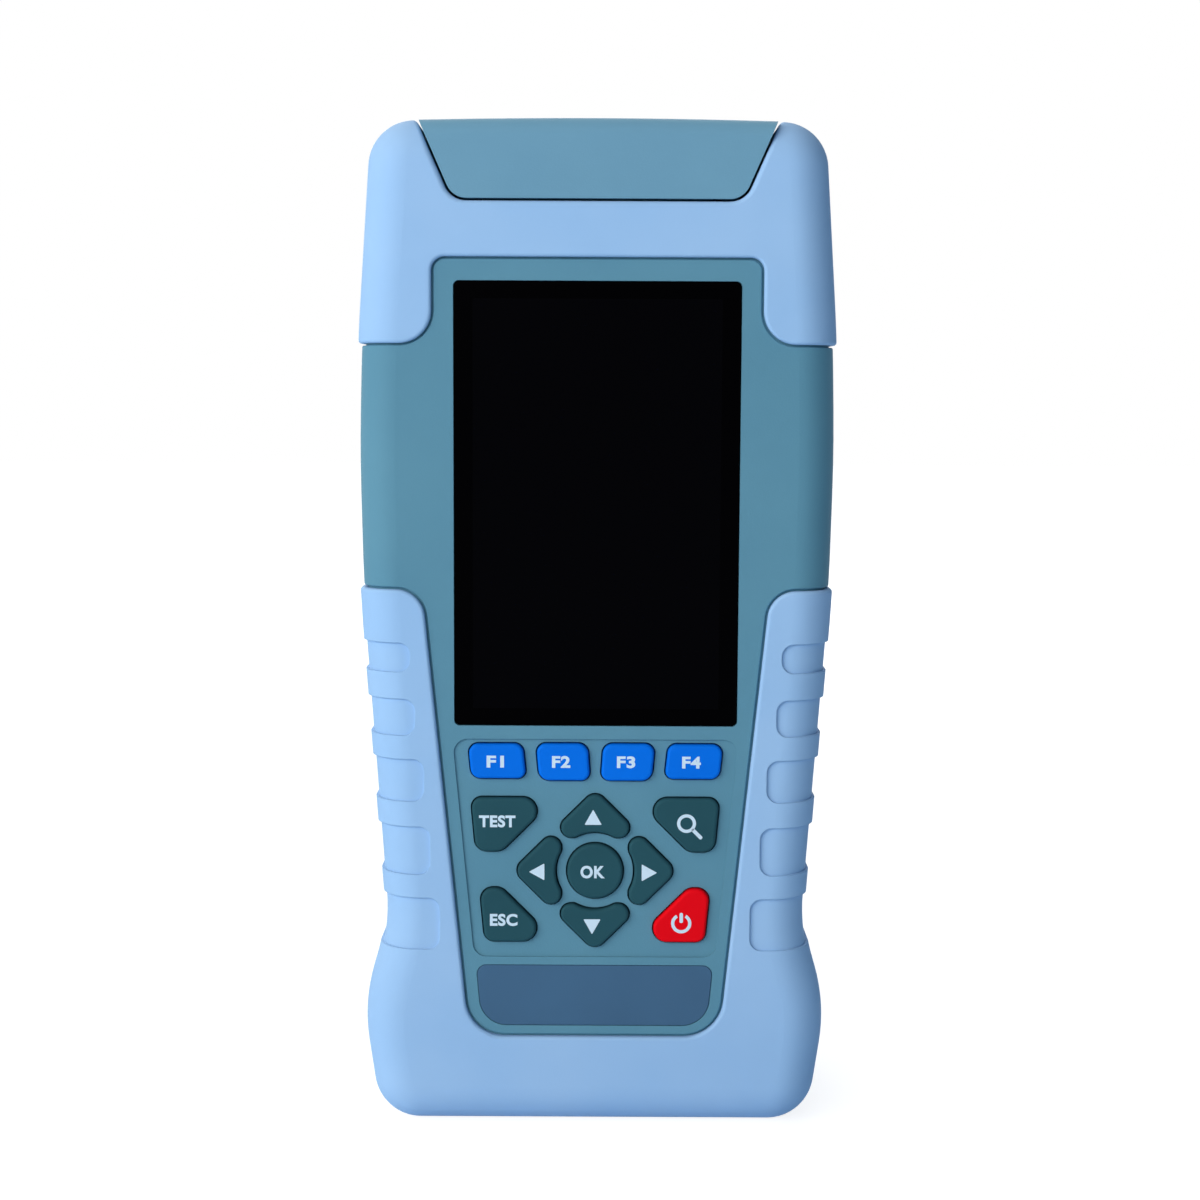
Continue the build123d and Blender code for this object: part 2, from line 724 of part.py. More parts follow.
def drill(solid, places, radius, y_front, y_back):
    """Solid with a hole along the depth at each place."""
    for x, z in places:
        solid -= rod_y(radius, x, z, y_front, y_back)
    return solid


def bracket_screw_places():
    """Centre of each display bracket screw."""
    return both_sides([(BRACKET_SCREW_X, z) for z in BRACKET_SCREW_Z])


def front_bosses():
    """Screw bosses behind the front wall."""
    start = INNER_Y - BOSS_ROOT
    bosses = [rod_y(BOSS_R, x, z, start, SPLIT_Y) for x, z in case_screw_places()]
    bosses += [rod_y(BOARD_BOSS_R, x, z, start, BOARD_Y) for x, z in both_sides(BOARD_SCREWS)]
    bosses += [
        rod_y(KEYPAD_BOSS_R, x, z, start, KEYPAD_BOARD_Y) for x, z in both_sides(KEYPAD_SCREWS)
    ]
    bosses += [rod_y(BRACKET_BOSS_R, x, z, start, BRACKET_Y) for x, z in bracket_screw_places()]
    return bosses


def side_seam():
    """Thin groove along the split, where the hard case shows between the boots."""
    skin = block(-FAR, FAR, SPLIT_Y - SEAM_HALF, SPLIT_Y + SEAM_HALF, -FAR, FAR)
    return skin - envelope(PLATEAU_INSET + SEAM_DEPTH)


def front_shell():
    """Front half of the hard case."""
    shell = core() & block(-FAR, FAR, -FAR, SPLIT_Y, -FAR, FAR)
    shell -= cavity()
    trim = envelope(SEAT_INSET)
    for boss in front_bosses():
        shell += boss & trim
    shell -= prism(screen_face(), -FAR, POCKET_Y)
    shell -= prism(view_face(), -FAR, LCD_Y)
    shell -= prism(field_face(), -FAR, FIELD_Y)
    shell -= prism(plate_face(PLATE_GAP), -FAR, PLATEAU_Y + PLATE_T)
    for face in key_faces().values():
        shell -= prism(offset(face, amount=KEY_GAP), -FAR, FLANGE_Y)
    shell = drill(
        shell, case_screw_places(), CASE_SCREW_HOLE_R, CASE_HEAD_SEAT - CASE_SCREW_LENGTH - OVER, FAR)
    small = [
        (both_sides(BOARD_SCREWS), BOARD_Y),
        (both_sides(KEYPAD_SCREWS), KEYPAD_BOARD_Y),
        (bracket_screw_places(), BRACKET_Y),
    ]
    for places, top in small:
        shell = drill(shell, places, SMALL_HOLE_R, top - SMALL_SCREW_LENGTH, top + OVER)
    return shell - deck_opening() - side_seam()


def deck_face(grow=0.0):
    """Top view of the port deck."""
    width = 2 * (DECK_HALF_WIDTH + grow)
    length = DECK_BACK_Y - DECK_FRONT_Y + 2 * grow
    middle = (DECK_BACK_Y + DECK_FRONT_Y) / 2
    return Pos(0, middle) * RectangleRounded(width, length, DECK_CORNER)


def deck_screw_places():
    """Centre of each deck screw in the top view."""
    x = DECK_HALF_WIDTH - DECK_SCREW_INSET
    front = DECK_FRONT_Y + DECK_SCREW_INSET
    back = DECK_BACK_Y - DECK_SCREW_INSET
    return [(x, front), (-x, front), (x, back), (-x, back)]


def deck_opening():
    """Hole in the notch floor under the deck, with its screw holes."""
    under = FLOOR_UNDER_Z - OVER
    hole = extrude(Pos(0, 0, under) * deck_face(-DECK_LIP), amount=WALL + 2 * OVER)
    for x, y in deck_screw_places():
        hole += rod_z(SMALL_HOLE_R, x, y, under, NOTCH_FLOOR_Z + OVER)
    return hole


def door_face(grow=0.0):
    """Back door outline in the front view."""
    width = 2 * (DOOR_HALF_WIDTH + grow)
    height = DOOR_TOP_Z - DOOR_BOTTOM_Z + 2 * grow
    middle = (DOOR_TOP_Z + DOOR_BOTTOM_Z) / 2
    return Pos(0, middle) * RectangleRounded(width, height, DOOR_CORNER)


def door_screw_places():
    """Centre of each door screw, in the band above the battery bay."""
    z = DOOR_TOP_Z - DOOR_SCREW_BAND / 2
    return both_sides([(DOOR_HALF_WIDTH - DOOR_SCREW_BAND, z)])


def bay_block(grow):
    """Space of the battery bay, grown by an even distance and open to the back."""
    return block(
        -BAY_HALF_WIDTH - grow, BAY_HALF_WIDTH + grow, BAY_FLOOR_Y - grow, FAR,
        BAY_BOTTOM_Z - grow, BAY_TOP_Z + grow)


def stand_recess(grow):
    """Space of the stand recess, grown by an even distance and open to the back."""
    half = STAND_HALF_WIDTH + STAND_SIDE_GAP + grow
    return block(
        -half, half, STAND_FLOOR_Y - grow, FAR,
        STAND_RECESS_BOTTOM_Z - grow, STAND_RECESS_TOP_Z + grow)


def across(radius, half_length, y, z):
    """Cylinder across the width, centred."""
    return rod(radius, (-half_length, y, z), (half_length, y, z))


def stand_pin_half():
    """Half length of the stand's pin."""
    return STAND_HALF_WIDTH + STAND_SIDE_GAP + WALL / 2


def cover_pin_half():
    """Half length of the cover's pin."""
    return HINGE_BARREL_HALF + HINGE_SIDE_GAP + PIN_END_SEAT


def hinge_ears():
    """Round ears on both sides of the cover's barrel."""
    inner = HINGE_BARREL_HALF + HINGE_SIDE_GAP
    ears = across(HINGE_EAR_R, FAR, HINGE_Y, HINGE_Z)
    ears -= block(-inner, inner, -FAR, FAR, -FAR, FAR)
    return ears & prism(notch(COVER_SEAM), -FAR, COVER_BACK_Y)


def seal_face(grow):
    """Front view of the seal in the split, grown by a gap on both sides."""
    section = inset_outline(SEAT_INSET) - notch(COVER_SEAM)
    middle = WALL / 2
    outer = offset(section, amount=-(middle - SEAL_WIDTH / 2 - grow))
    inner = offset(section, amount=-(middle + SEAL_WIDTH / 2 + grow))
    return outer - inner


def rear_shell():
    """Rear half of the hard case, with battery bay, stand recess and hinge ears."""
    shell = core() & block(-FAR, FAR, SPLIT_Y, FAR, -FAR, FAR)
    seat = prism(door_face(WALL), DOOR_INNER_Y - WALL, FAR)
    shell -= cavity() - bay_block(BAY_WALL) - seat - stand_recess(WALL)
    trim = envelope(SEAT_INSET)
    for x, z in case_screw_places():
        shell += rod_y(BOSS_R, x, z, SPLIT_Y, REAR_INNER_Y + BOSS_ROOT) & trim
    for x, z in door_screw_places():
        shell += rod_y(DOOR_SCREW_HEAD_R, x, z, DOOR_INNER_Y - DOOR_SCREW_LENGTH, DOOR_INNER_Y)
    shell += hinge_ears()
    shell -= bay_block(0)
    shell -= prism(door_face(DOOR_GAP), DOOR_INNER_Y, FAR)
    shell -= stand_recess(0)
    shell -= across(STAND_PIN_R + PIN_CLEARANCE, stand_pin_half(), STAND_HINGE_Y, STAND_HINGE_Z)
    shell -= across(HINGE_PIN_R + PIN_CLEARANCE, cover_pin_half(), HINGE_Y, HINGE_Z)
    hole = DOOR_SCREW_R + PIN_CLEARANCE
    shell = drill(shell, door_screw_places(), hole, DOOR_INNER_Y - DOOR_SCREW_LENGTH, FAR)
    shell = drill(shell, case_screw_places(), CASE_SCREW_HOLE_R, SPLIT_Y - OVER, FAR)
    shell = drill(shell, case_screw_places(), CASE_HEAD_R + COUNTERBORE_GAP, CASE_HEAD_SEAT, FAR)
    shell -= prism(seal_face(SEAL_GAP), SPLIT_Y - OVER, SPLIT_Y + SEAL_T + SEAL_GAP)
    return shell - deck_opening() - side_seam()


def shell_seal():
    """Silicone seal in the split, broken where the port deck crosses it."""
    seal = prism(seal_face(0), SPLIT_Y, SPLIT_Y + SEAL_T)
    return seal - extrude(Pos(0, 0, FLOOR_UNDER_Z - OVER) * deck_face(-DECK_LIP), amount=WALL + 2 * OVER)


def cover_face(inset):
    """Front view of the port cover with its slightly crowned top."""
    half = COVER_TOP_HALF
    crown = (half * half + COVER_CROWN_DROP ** 2) / (2 * COVER_CROWN_DROP)
    over = HEIGHT + CROWN_RADIUS
    face = symmetric([
        (COVER_BOTTOM_HALF, COVER_BOTTOM_Z, COVER_CORNER),
        (cover_half(over), over, 0),
    ])
    face &= Pos(0, HEIGHT - crown) * Circle(crown)
    return offset(face, amount=-inset) if inset else face


def port_cover():
    """Flip cover: a hollow lid with its hinge barrel at the lower back edge."""
    body = prism(cover_face(0), COVER_FRONT_Y, COVER_BACK_Y)
    top_front = body.edges().group_by(Axis.Y)[0].sort_by(Axis.Z)[-1]
    top_back = body.edges().group_by(Axis.Y)[-1].sort_by(Axis.Z)[-1]
    body = fillet([top_front, top_back], COVER_EDGE)
    barrel = across(HINGE_BARREL_R, HINGE_BARREL_HALF, HINGE_Y, HINGE_Z)
    hollow_face = cover_face(COVER_WALL) + Pos(0, COVER_BOTTOM_Z) * Rectangle(
        2 * (COVER_BOTTOM_HALF - COVER_WALL - COVER_CORNER / 2), 2 * (COVER_WALL + COVER_CORNER))
    hollow = prism(hollow_face, COVER_FRONT_Y + COVER_WALL, COVER_BACK_Y - COVER_WALL)
    body -= block(-FAR, FAR, HINGE_Y - HINGE_BARREL_R, FAR, -FAR, HINGE_Z)
    body -= hollow
    sweep = across(HINGE_EAR_R + HINGE_EAR_GAP, FAR, HINGE_Y, HINGE_Z)
    body -= sweep - block(
        -HINGE_BARREL_HALF, HINGE_BARREL_HALF, -FAR, FAR, -FAR, FAR)
    body += barrel
    return body - across(HINGE_PIN_R + PIN_CLEARANCE, FAR, HINGE_Y, HINGE_Z)


def screen_lens():
    """Clear window over the display."""
    face = screen_face(-LENS_GAP)
    lens = prism(face, LENS_Y, TAPE_Y)
    return fillet(lens.edges().group_by(Axis.Y)[0], LENS_EDGE)


def lens_tape():
    """Adhesive frame under the window."""
    face = screen_face(-LENS_GAP) - view_face()
    return prism(face, TAPE_Y, POCKET_Y)


def display_face(shrink=0.0):
    """Front view of the display module."""
    return Pos(0, SCREEN_MID_Z) * Rectangle(LCD_WIDTH - shrink, LCD_HEIGHT - shrink)


def display_foam():
    """Foam frame between the front wall and the display."""
    opening = Pos(0, SCREEN_MID_Z) * Rectangle(VIEW_WIDTH + FOAM_RIM, VIEW_HEIGHT + FOAM_RIM)
    return prism(display_face(FOAM_RIM) - opening, INNER_Y, LCD_Y)


def display_module():
    """Liquid crystal display."""
    return prism(display_face(), LCD_Y, BRACKET_Y)


def display_bracket():
    """Plate that holds the display against the front wall."""
    face = Pos(0, SCREEN_MID_Z) * Rectangle(BRACKET_WIDTH, LCD_HEIGHT)
    opening = Rectangle(VIEW_WIDTH - BRACKET_OPENING, VIEW_HEIGHT - BRACKET_OPENING)
    face -= Pos(0, SCREEN_MID_Z) * opening
    plate = prism(face, BRACKET_Y, BRACKET_Y + BRACKET_T)
    return drill(plate, bracket_screw_places(), SMALL_HOLE_R, -FAR, FAR)


def display_ribbon():
    """Flat lead from the display to the main board."""
    top = SCREEN_TOP_Z - RIBBON_END
    low = top - RIBBON_DROP
    profile = make_face(Polyline(
        (BRACKET_Y, top), (BOARD_Y, low), (BOARD_Y, low - RIBBON_T),
        (BRACKET_Y, top - RIBBON_T), close=True))
    side = Plane(origin=(-RIBBON_WIDTH / 2, 0, 0), x_dir=(0, 1, 0), z_dir=(1, 0, 0))
    return extrude(side * profile, amount=RIBBON_WIDTH)


def keypad_outline(bottom_half, top_half, bottom_z, top_z):
    """Tapered outline behind the keypad field."""
    return symmetric([(bottom_half, bottom_z, MAT_CORNER), (top_half, top_z, MAT_CORNER)])


def keypad_mat():
    """Silicone sheet with the switch domes that the keys press."""
    face = keypad_outline(MAT_BOTTOM_HALF, MAT_TOP_HALF, MAT_BOTTOM_Z, MAT_TOP_Z)
    return prism(face, MAT_Y, KEYPAD_BOARD_Y)


def keypad_board():
    """Circuit board behind the keys."""
    face = keypad_outline(
        KEYPAD_BOARD_BOTTOM_HALF, KEYPAD_BOARD_TOP_HALF, MAT_BOTTOM_Z, MAT_TOP_Z)
    board = prism(face, KEYPAD_BOARD_Y, KEYPAD_BOARD_Y + KEYPAD_BOARD_T)
    return drill(board, both_sides(KEYPAD_SCREWS), SMALL_HOLE_R, -FAR, FAR)


def name_plate():
    """Bare name plate in its recess."""
    plate = prism(plate_face(), PLATEAU_Y, PLATEAU_Y + PLATE_T)
    return fillet(plate.edges().group_by(Axis.Y)[0], PLATE_EDGE)


def main_board():
    """Main circuit board on the bosses of the front shell."""
    board = block(
        -BOARD_HALF_WIDTH, BOARD_HALF_WIDTH, BOARD_Y, BOARD_BACK_Y, BOARD_BOTTOM_Z, BOARD_TOP_Z)
    return drill(board, both_sides(BOARD_SCREWS), SMALL_HOLE_R, -FAR, FAR)


def on_board(size, x, z):
    """Rectangular part on the back of the main board."""
    width, thickness, height = size
    return block(
        x - width / 2, x + width / 2, BOARD_BACK_Y, BOARD_BACK_Y + thickness,
        z - height / 2, z + height / 2)


def processor_shield():
    """Screening can over the processor."""
    can = on_board(SHIELD_SIZE, SHIELD_X, SHIELD_Z)
    return fillet(can.edges().group_by(Axis.Y)[-1], SHIELD_EDGE)


def board_chips():
    """Packages on the back of the main board."""
    return Compound(children=[on_board(CHIP_SIZE, x, z) for x, z in CHIP_PLACES])


def buzzer():
    """Round sounder with its hole."""
    body = rod_y(BUZZER_R, BUZZER_X, BUZZER_Z, BOARD_BACK_Y, BOARD_BACK_Y + BUZZER_T)
    top = BOARD_BACK_Y + BUZZER_T
    return body - rod_y(BUZZER_HOLE_R, BUZZER_X, BUZZER_Z, top - BUZZER_HOLE_DEPTH, top + OVER)


def module_places():
    """Centre of each spacer of the optical module."""
    x = MODULE_WIDTH / 2 - SPACER_INSET
    return both_sides([(x, MODULE_BOTTOM_Z + SPACER_INSET), (x, MODULE_TOP_Z - SPACER_INSET)])


def optical_module():
    """Metal can of the pulsed laser and receiver."""
    can = block(
        -MODULE_WIDTH / 2, MODULE_WIDTH / 2, MODULE_Y, MODULE_Y + MODULE_T,
        MODULE_BOTTOM_Z, MODULE_TOP_Z)
    return fillet(can.edges().filter_by(Axis.Y), MODULE_EDGE)


def module_spacers():
    """Spacers between the main board and the optical module."""
    return Compound(children=[
        rod_y(SPACER_R, x, z, BOARD_BACK_Y, MODULE_Y) for x, z in module_places()])


def cell_places():
    """Centre line of each battery cell across the width."""
    x = CELL_R + CELL_GAP / 2
    return [-x, x]


def battery_cells():
    """Two rechargeable cells side by side."""
    bottom = BAY_BOTTOM_Z + BAY_END_ROOM
    cells = []
    for x in cell_places():
        body = rod_z(CELL_R, x, CELL_Y, bottom, bottom + CELL_LENGTH - CELL_NUB_H)
        body = fillet(body.edges().filter_by(GeomType.CIRCLE), CELL_EDGE)
        nub_bottom = bottom + CELL_LENGTH - 2 * CELL_NUB_H
        cells.append(body + rod_z(CELL_NUB_R, x, CELL_Y, nub_bottom, bottom + CELL_LENGTH))
    return Compound(children=cells)


def battery_contacts():
    """Contact plate and spring at both ends of each cell."""
    contacts = []
    reach = BAY_END_ROOM - CONTACT_GAP
    for x in cell_places():
        for wall, step in ((BAY_BOTTOM_Z, 1), (BAY_TOP_Z, -1)):
            low, high = sorted((wall, wall + step * CONTACT_T))
            plate = block(
                x - CONTACT_HALF, x + CONTACT_HALF, CELL_Y - CONTACT_HALF, CELL_Y + CONTACT_HALF,
                low, high)
            low, high = sorted((wall, wall + step * reach))
            contacts.append(plate + rod_z(CONTACT_SPRING_R, x, CELL_Y, low, high))
    return Compound(children=contacts)


def battery_door():
    """Back door over the battery bay, with a ribbed thumb patch."""
    door = prism(door_face(), DOOR_INNER_Y, REAR_PLATEAU_Y)
    door = fillet(door.edges().group_by(Axis.Y)[-1], DOOR_EDGE)
    for index in range(DOOR_RIBS):
        z = DOOR_BOTTOM_Z + DOOR_RIB_START + index * DOOR_RIB_PITCH
        door -= block(
            -DOOR_RIB_HALF, DOOR_RIB_HALF, REAR_PLATEAU_Y - DOOR_RIB_DEPTH, FAR,
            z, z + DOOR_RIB_PITCH / 2)
    door = drill(door, door_screw_places(), DOOR_SCREW_R + PIN_CLEARANCE, -FAR, FAR)
    head = REAR_PLATEAU_Y - DOOR_SCREW_HEAD_H
    return drill(door, door_screw_places(), DOOR_SCREW_HEAD_R + COUNTERBORE_GAP, head, FAR)


def screw(x, z, seat, shank, head):
    """Screw along the depth: its head lies behind the seat and its tip points to the screen."""
    shank_r, shank_length = shank
    head_r, head_h = head
    body = rod_y(shank_r, x, z, seat - shank_length, seat)
    body += rod_y(head_r, x, z, seat, seat + head_h)
    slot = head_r * SLOT_SHARE
    thin = slot / 3
    for half_x, half_z in ((slot, thin), (thin, slot)):
        body -= block(
            x - half_x, x + half_x, seat + head_h * (1 - SLOT_SHARE), seat + head_h + OVER,
            z - half_z, z + half_z)
    return body


def screws(places, seat, shank, head):
    """One screw at each place."""
    return Compound(children=[screw(x, z, seat, shank, head) for x, z in places])


def panel_screws():
    """Equal short screws of the keypad board and the display bracket."""
    shank = (SMALL_SCREW_R, KEYPAD_BOARD_T + SMALL_SCREW_LENGTH - SCREW_END_ROOM)
    head = (SMALL_HEAD_R, SMALL_HEAD_H)
    bodies = [
        screw(x, z, KEYPAD_BOARD_Y + KEYPAD_BOARD_T, shank, head)
        for x, z in both_sides(KEYPAD_SCREWS)
    ]
    bodies += [screw(x, z, BRACKET_Y + BRACKET_T, shank, head) for x, z in bracket_screw_places()]
    return Compound(children=bodies)


def top_screw(x, y, seat, shank, head):
    """Upright screw: its head lies on the seat and its tip points down."""
    upright = Pos(x, y, seat) * Rot(90, 0, 0)
    return upright * screw(0, 0, 0, shank, head)


def stand():
    """Fold out desk stand with its hinge barrel at the top."""
    face = Pos(0, (STAND_HINGE_Z + STAND_TIP_Z) / 2) * Rectangle(2 * STAND_HALF_WIDTH, STAND_LENGTH)
    low = face.vertices().group_by(Axis.Y)[0]
    face = fillet(low, STAND_CORNER)
    plate = prism(face, STAND_BACK_Y - STAND_T, STAND_BACK_Y)
    plate += across(STAND_HINGE_R, STAND_HALF_WIDTH, STAND_HINGE_Y, STAND_HINGE_Z)
    half = STAND_HALF_WIDTH - STAND_WINDOW_INSET
    plate -= block(
        -half, half, STAND_BACK_Y - STAND_WINDOW_DEPTH, FAR,
        STAND_TIP_Z + STAND_WINDOW_INSET, STAND_HINGE_Z - STAND_WINDOW_INSET)
    plate -= stand_pad_block()
    return plate - across(STAND_PIN_R + PIN_CLEARANCE, FAR, STAND_HINGE_Y, STAND_HINGE_Z)


def stand_pad_block():
    """Place of the rubber strip on the stand's tip."""
    half = STAND_HALF_WIDTH - STAND_CORNER
    return block(
        -half, half, STAND_BACK_Y - STAND_PAD_T, STAND_BACK_Y, STAND_TIP_Z,
        STAND_TIP_Z + STAND_PAD_H)


def adapter_screw_places():
    """Centre of the two screws of each optical port in the top view."""
    reach = ADAPTER_FLANGE / 2 - ADAPTER_SCREW_INSET
    return [
        (x + side * reach, ADAPTER_Y + side * reach) for x in ADAPTER_X for side in (1, -1)]


def port_deck():
    """Plate in the notch that carries the sockets."""
    deck = extrude(Pos(0, 0, DECK_Z) * deck_face(), amount=DECK_T)
    below = DECK_Z - OVER
    above = DECK_TOP_Z + OVER
    for x in ADAPTER_X:
        deck -= rod_z(ADAPTER_TAIL_R + SOCKET_CLEARANCE, x, ADAPTER_Y, below, above)
    for x, y in adapter_screw_places():
        deck -= rod_z(TINY_HOLE_R, x, y, below, above)
    for x, y in deck_screw_places():
        deck -= rod_z(SMALL_HOLE_R, x, y, below, above)
    deck -= usb_block(SOCKET_CLEARANCE, below, above)
    return deck - rod_z(JACK_R + SOCKET_CLEARANCE, JACK_X, SOCKET_Y, below, above)


def deck_gasket():
    """Flat gasket under the rim of the port deck."""
    ring = deck_face() - deck_face(-DECK_LIP)
    gasket = extrude(Pos(0, 0, NOTCH_FLOOR_Z) * ring, amount=DECK_GASKET_T)
    for x, y in deck_screw_places():
        gasket -= rod_z(SMALL_HOLE_R, x, y, NOTCH_FLOOR_Z - OVER, DECK_Z + OVER)
    return gasket


def adapter(x):
    """Optical port: square flange, threaded barrel and tail, bored for its sleeve."""
    flange_top = DECK_TOP_Z + ADAPTER_FLANGE_T
    tail_bottom = DECK_Z - ADAPTER_TAIL_L
    square = RectangleRounded(ADAPTER_FLANGE, ADAPTER_FLANGE, ADAPTER_FLANGE_CORNER)
    body = extrude(Pos(x, ADAPTER_Y, DECK_TOP_Z) * square, amount=ADAPTER_FLANGE_T)
    body += rod_z(ADAPTER_BARREL_R, x, ADAPTER_Y, flange_top, ADAPTER_TOP_Z)
    body += rod_z(ADAPTER_TAIL_R, x, ADAPTER_Y, tail_bottom, DECK_TOP_Z)
    body -= rod_z(ADAPTER_BORE_R, x, ADAPTER_Y, flange_top, ADAPTER_TOP_Z + OVER)
    body -= rod_z(SLEEVE_R + SLEEVE_GAP, x, ADAPTER_Y, SLEEVE_BOTTOM_Z, flange_top + OVER)
    for screw_x, screw_y in adapter_screw_places():
        body -= rod_z(TINY_HOLE_R, screw_x, screw_y, DECK_TOP_Z - OVER, flange_top + OVER)
    return body


def ceramic_sleeves():
    """Split sleeve that lines up the ferrules in each optical port."""
    sleeves = []
    for x in ADAPTER_X:
        tube = rod_z(SLEEVE_R, x, ADAPTER_Y, SLEEVE_BOTTOM_Z, SLEEVE_BOTTOM_Z + SLEEVE_LENGTH)
        sleeves.append(tube - rod_z(FERRULE_HOLE_R, x, ADAPTER_Y, SLEEVE_BOTTOM_Z - OVER, FAR))
    return Compound(children=sleeves)


def fault_laser():
    """Red laser can under its port."""
    top = DECK_Z - ADAPTER_TAIL_L
    return rod_z(LASER_R, ADAPTER_X[2], ADAPTER_Y, top - LASER_LENGTH, top)


def power_detector():
    """Detector can under the power meter port."""
    top = DECK_Z - ADAPTER_TAIL_L
    return rod_z(DETECTOR_R, ADAPTER_X[1], ADAPTER_Y, top - DETECTOR_LENGTH, top)


def fibre_lead():
    """Fibre from the test port to the optical module."""
    top = DECK_Z - ADAPTER_TAIL_L
    module_y = MODULE_Y + MODULE_T / 2
    x = ADAPTER_X[0]
    line = FilletPolyline(
        (x, ADAPTER_Y, top),
        (x, ADAPTER_Y, top - LEAD_RUN),
        (x, module_y, MODULE_TOP_Z + LEAD_RUN),
        (x, module_y, MODULE_TOP_Z),
        radius=LEAD_BEND)
    start = Plane(origin=(x, ADAPTER_Y, top), z_dir=(0, 0, -1))
    return sweep(start * Circle(LEAD_R), path=line)


def usb_block(grow, z_low, z_high):
    """Upright block around the data socket."""
    return block(
        USB_X - USB_WIDTH / 2 - grow, USB_X + USB_WIDTH / 2 + grow,
        SOCKET_Y - USB_HEIGHT / 2 - grow, SOCKET_Y + USB_HEIGHT / 2 + grow, z_low, z_high)


def usb_socket():
    """Metal shell of the data socket."""
    top = DECK_TOP_Z + USB_PROUD
    shell = usb_block(0, top - USB_LENGTH, top)
    return shell - usb_block(-USB_WALL, top - USB_LENGTH + USB_WALL, top + OVER)


def usb_tongue():
    """Plastic tongue inside the data socket."""
    base = DECK_TOP_Z + USB_PROUD - USB_LENGTH + USB_WALL
    body = usb_block(-USB_WALL - SOCKET_CLEARANCE, base, base + USB_BASE_H)
    y = SOCKET_Y - USB_HEIGHT / 2 + USB_TONGUE_OFFSET
    return body + block(
        USB_X - USB_TONGUE_WIDTH / 2, USB_X + USB_TONGUE_WIDTH / 2, y, y + USB_TONGUE_T,
        base, base + USB_LENGTH - 2 * USB_WALL - USB_TONGUE_SINK)


def charge_jack():
    """Round charging socket with its centre hole."""
    top = DECK_TOP_Z + JACK_PROUD
    body = rod_z(JACK_R, JACK_X, SOCKET_Y, top - JACK_LENGTH, top)
    return body - rod_z(JACK_HOLE_R, JACK_X, SOCKET_Y, top - JACK_DEPTH, top + OVER)


def jack_pin():
    """Centre pin of the charging socket."""
    floor = DECK_TOP_Z + JACK_PROUD - JACK_DEPTH
    return rod_z(JACK_PIN_R, JACK_X, SOCKET_Y, floor, floor + JACK_DEPTH - JACK_PIN_SINK)


def build():
    """Every piece by node name."""
    skin = boots()
    small_shank = (SMALL_SCREW_R, BOARD_T + SMALL_SCREW_LENGTH - SCREW_END_ROOM)
    small_head = (SMALL_HEAD_R, SMALL_HEAD_H)
    door_length = DOOR_T - DOOR_SCREW_HEAD_H + DOOR_SCREW_LENGTH - SCREW_END_ROOM
    deck_shank = (SMALL_SCREW_R, DECK_T + DECK_GASKET_T + WALL)
    tiny_shank = (TINY_SCREW_R, ADAPTER_FLANGE_T + DECK_T)
    flange_top = DECK_TOP_Z + ADAPTER_FLANGE_T
    nodes = {
        "front_shell": front_shell(),
        "rear_shell": rear_shell(),
        "upper_boot": upper_boot(skin),
        "lower_boot": lower_boot(skin),
        "shell_seal": shell_seal(),
        "port_cover": port_cover(),
        "cover_pin": across(HINGE_PIN_R, cover_pin_half(), HINGE_Y, HINGE_Z),
        "screen_lens": screen_lens(),
        "lens_tape": lens_tape(),
        "display_foam": display_foam(),
        "display_module": display_module(),
        "display_bracket": display_bracket(),
        "display_ribbon": display_ribbon(),
        "keypad_mat": keypad_mat(),
        "keypad_board": keypad_board(),
        "name_plate": name_plate(),
        "main_board": main_board(),
        "processor_shield": processor_shield(),
        "board_chips": board_chips(),
        "buzzer": buzzer(),
        "optical_module": optical_module(),
        "module_spacers": module_spacers(),
        "battery_cells": battery_cells(),
        "battery_contacts": battery_contacts(),
        "battery_door": battery_door(),
        "stand": stand(),
        "stand_pad": stand_pad_block(),
        "stand_pin": across(STAND_PIN_R, stand_pin_half(), STAND_HINGE_Y, STAND_HINGE_Z),
        "port_deck": port_deck(),
        "deck_gasket": deck_gasket(),
        "test_port": adapter(ADAPTER_X[0]),
        "meter_port": adapter(ADAPTER_X[1]),
        "laser_port": adapter(ADAPTER_X[2]),
        "ceramic_sleeves": ceramic_sleeves(),
        "fault_laser": fault_laser(),
        "power_detector": power_detector(),
        "fibre_lead": fibre_lead(),
        "usb_socket": usb_socket(),
        "usb_tongue": usb_tongue(),
        "charge_jack": charge_jack(),
        "jack_pin": jack_pin(),
        "case_screws": screws(
            case_screw_places(), CASE_HEAD_SEAT, (CASE_SCREW_R, CASE_SCREW_LENGTH),
            (CASE_HEAD_R, CASE_HEAD_H)),
        "board_screws": screws(both_sides(BOARD_SCREWS), BOARD_BACK_Y, small_shank, small_head),
        "panel_screws": panel_screws(),
        "door_screws": screws(
            door_screw_places(), REAR_PLATEAU_Y - DOOR_SCREW_HEAD_H, (DOOR_SCREW_R, door_length),
            (DOOR_SCREW_HEAD_R, DOOR_SCREW_HEAD_H)),
        "deck_screws": Compound(children=[
            top_screw(x, y, DECK_TOP_Z, deck_shank, small_head) for x, y in deck_screw_places()]),
        "port_screws": Compound(children=[
            top_screw(x, y, flange_top, tiny_shank, (TINY_HEAD_R, TINY_HEAD_H))
            for x, y in adapter_screw_places()]),
    }
    for name, face in key_faces().items():
        nodes[name] = key(face)
    return nodes


os.makedirs("parts", exist_ok=True)
for node_name, solid in build().items():
    export_step(solid, f"parts/{node_name}.step")
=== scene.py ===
"""Looks of a handheld fibre reflectometer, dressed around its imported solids.

X runs to the right as the user sees the screen, Y from the screen to the back, Z up.
Blender works in metres; sizes that end in _mm are in millimetres.
"""

from __future__ import annotations

import json
import logging
import math
from dataclasses import dataclass, field
from enum import Enum
from typing import Any, Callable, Iterable

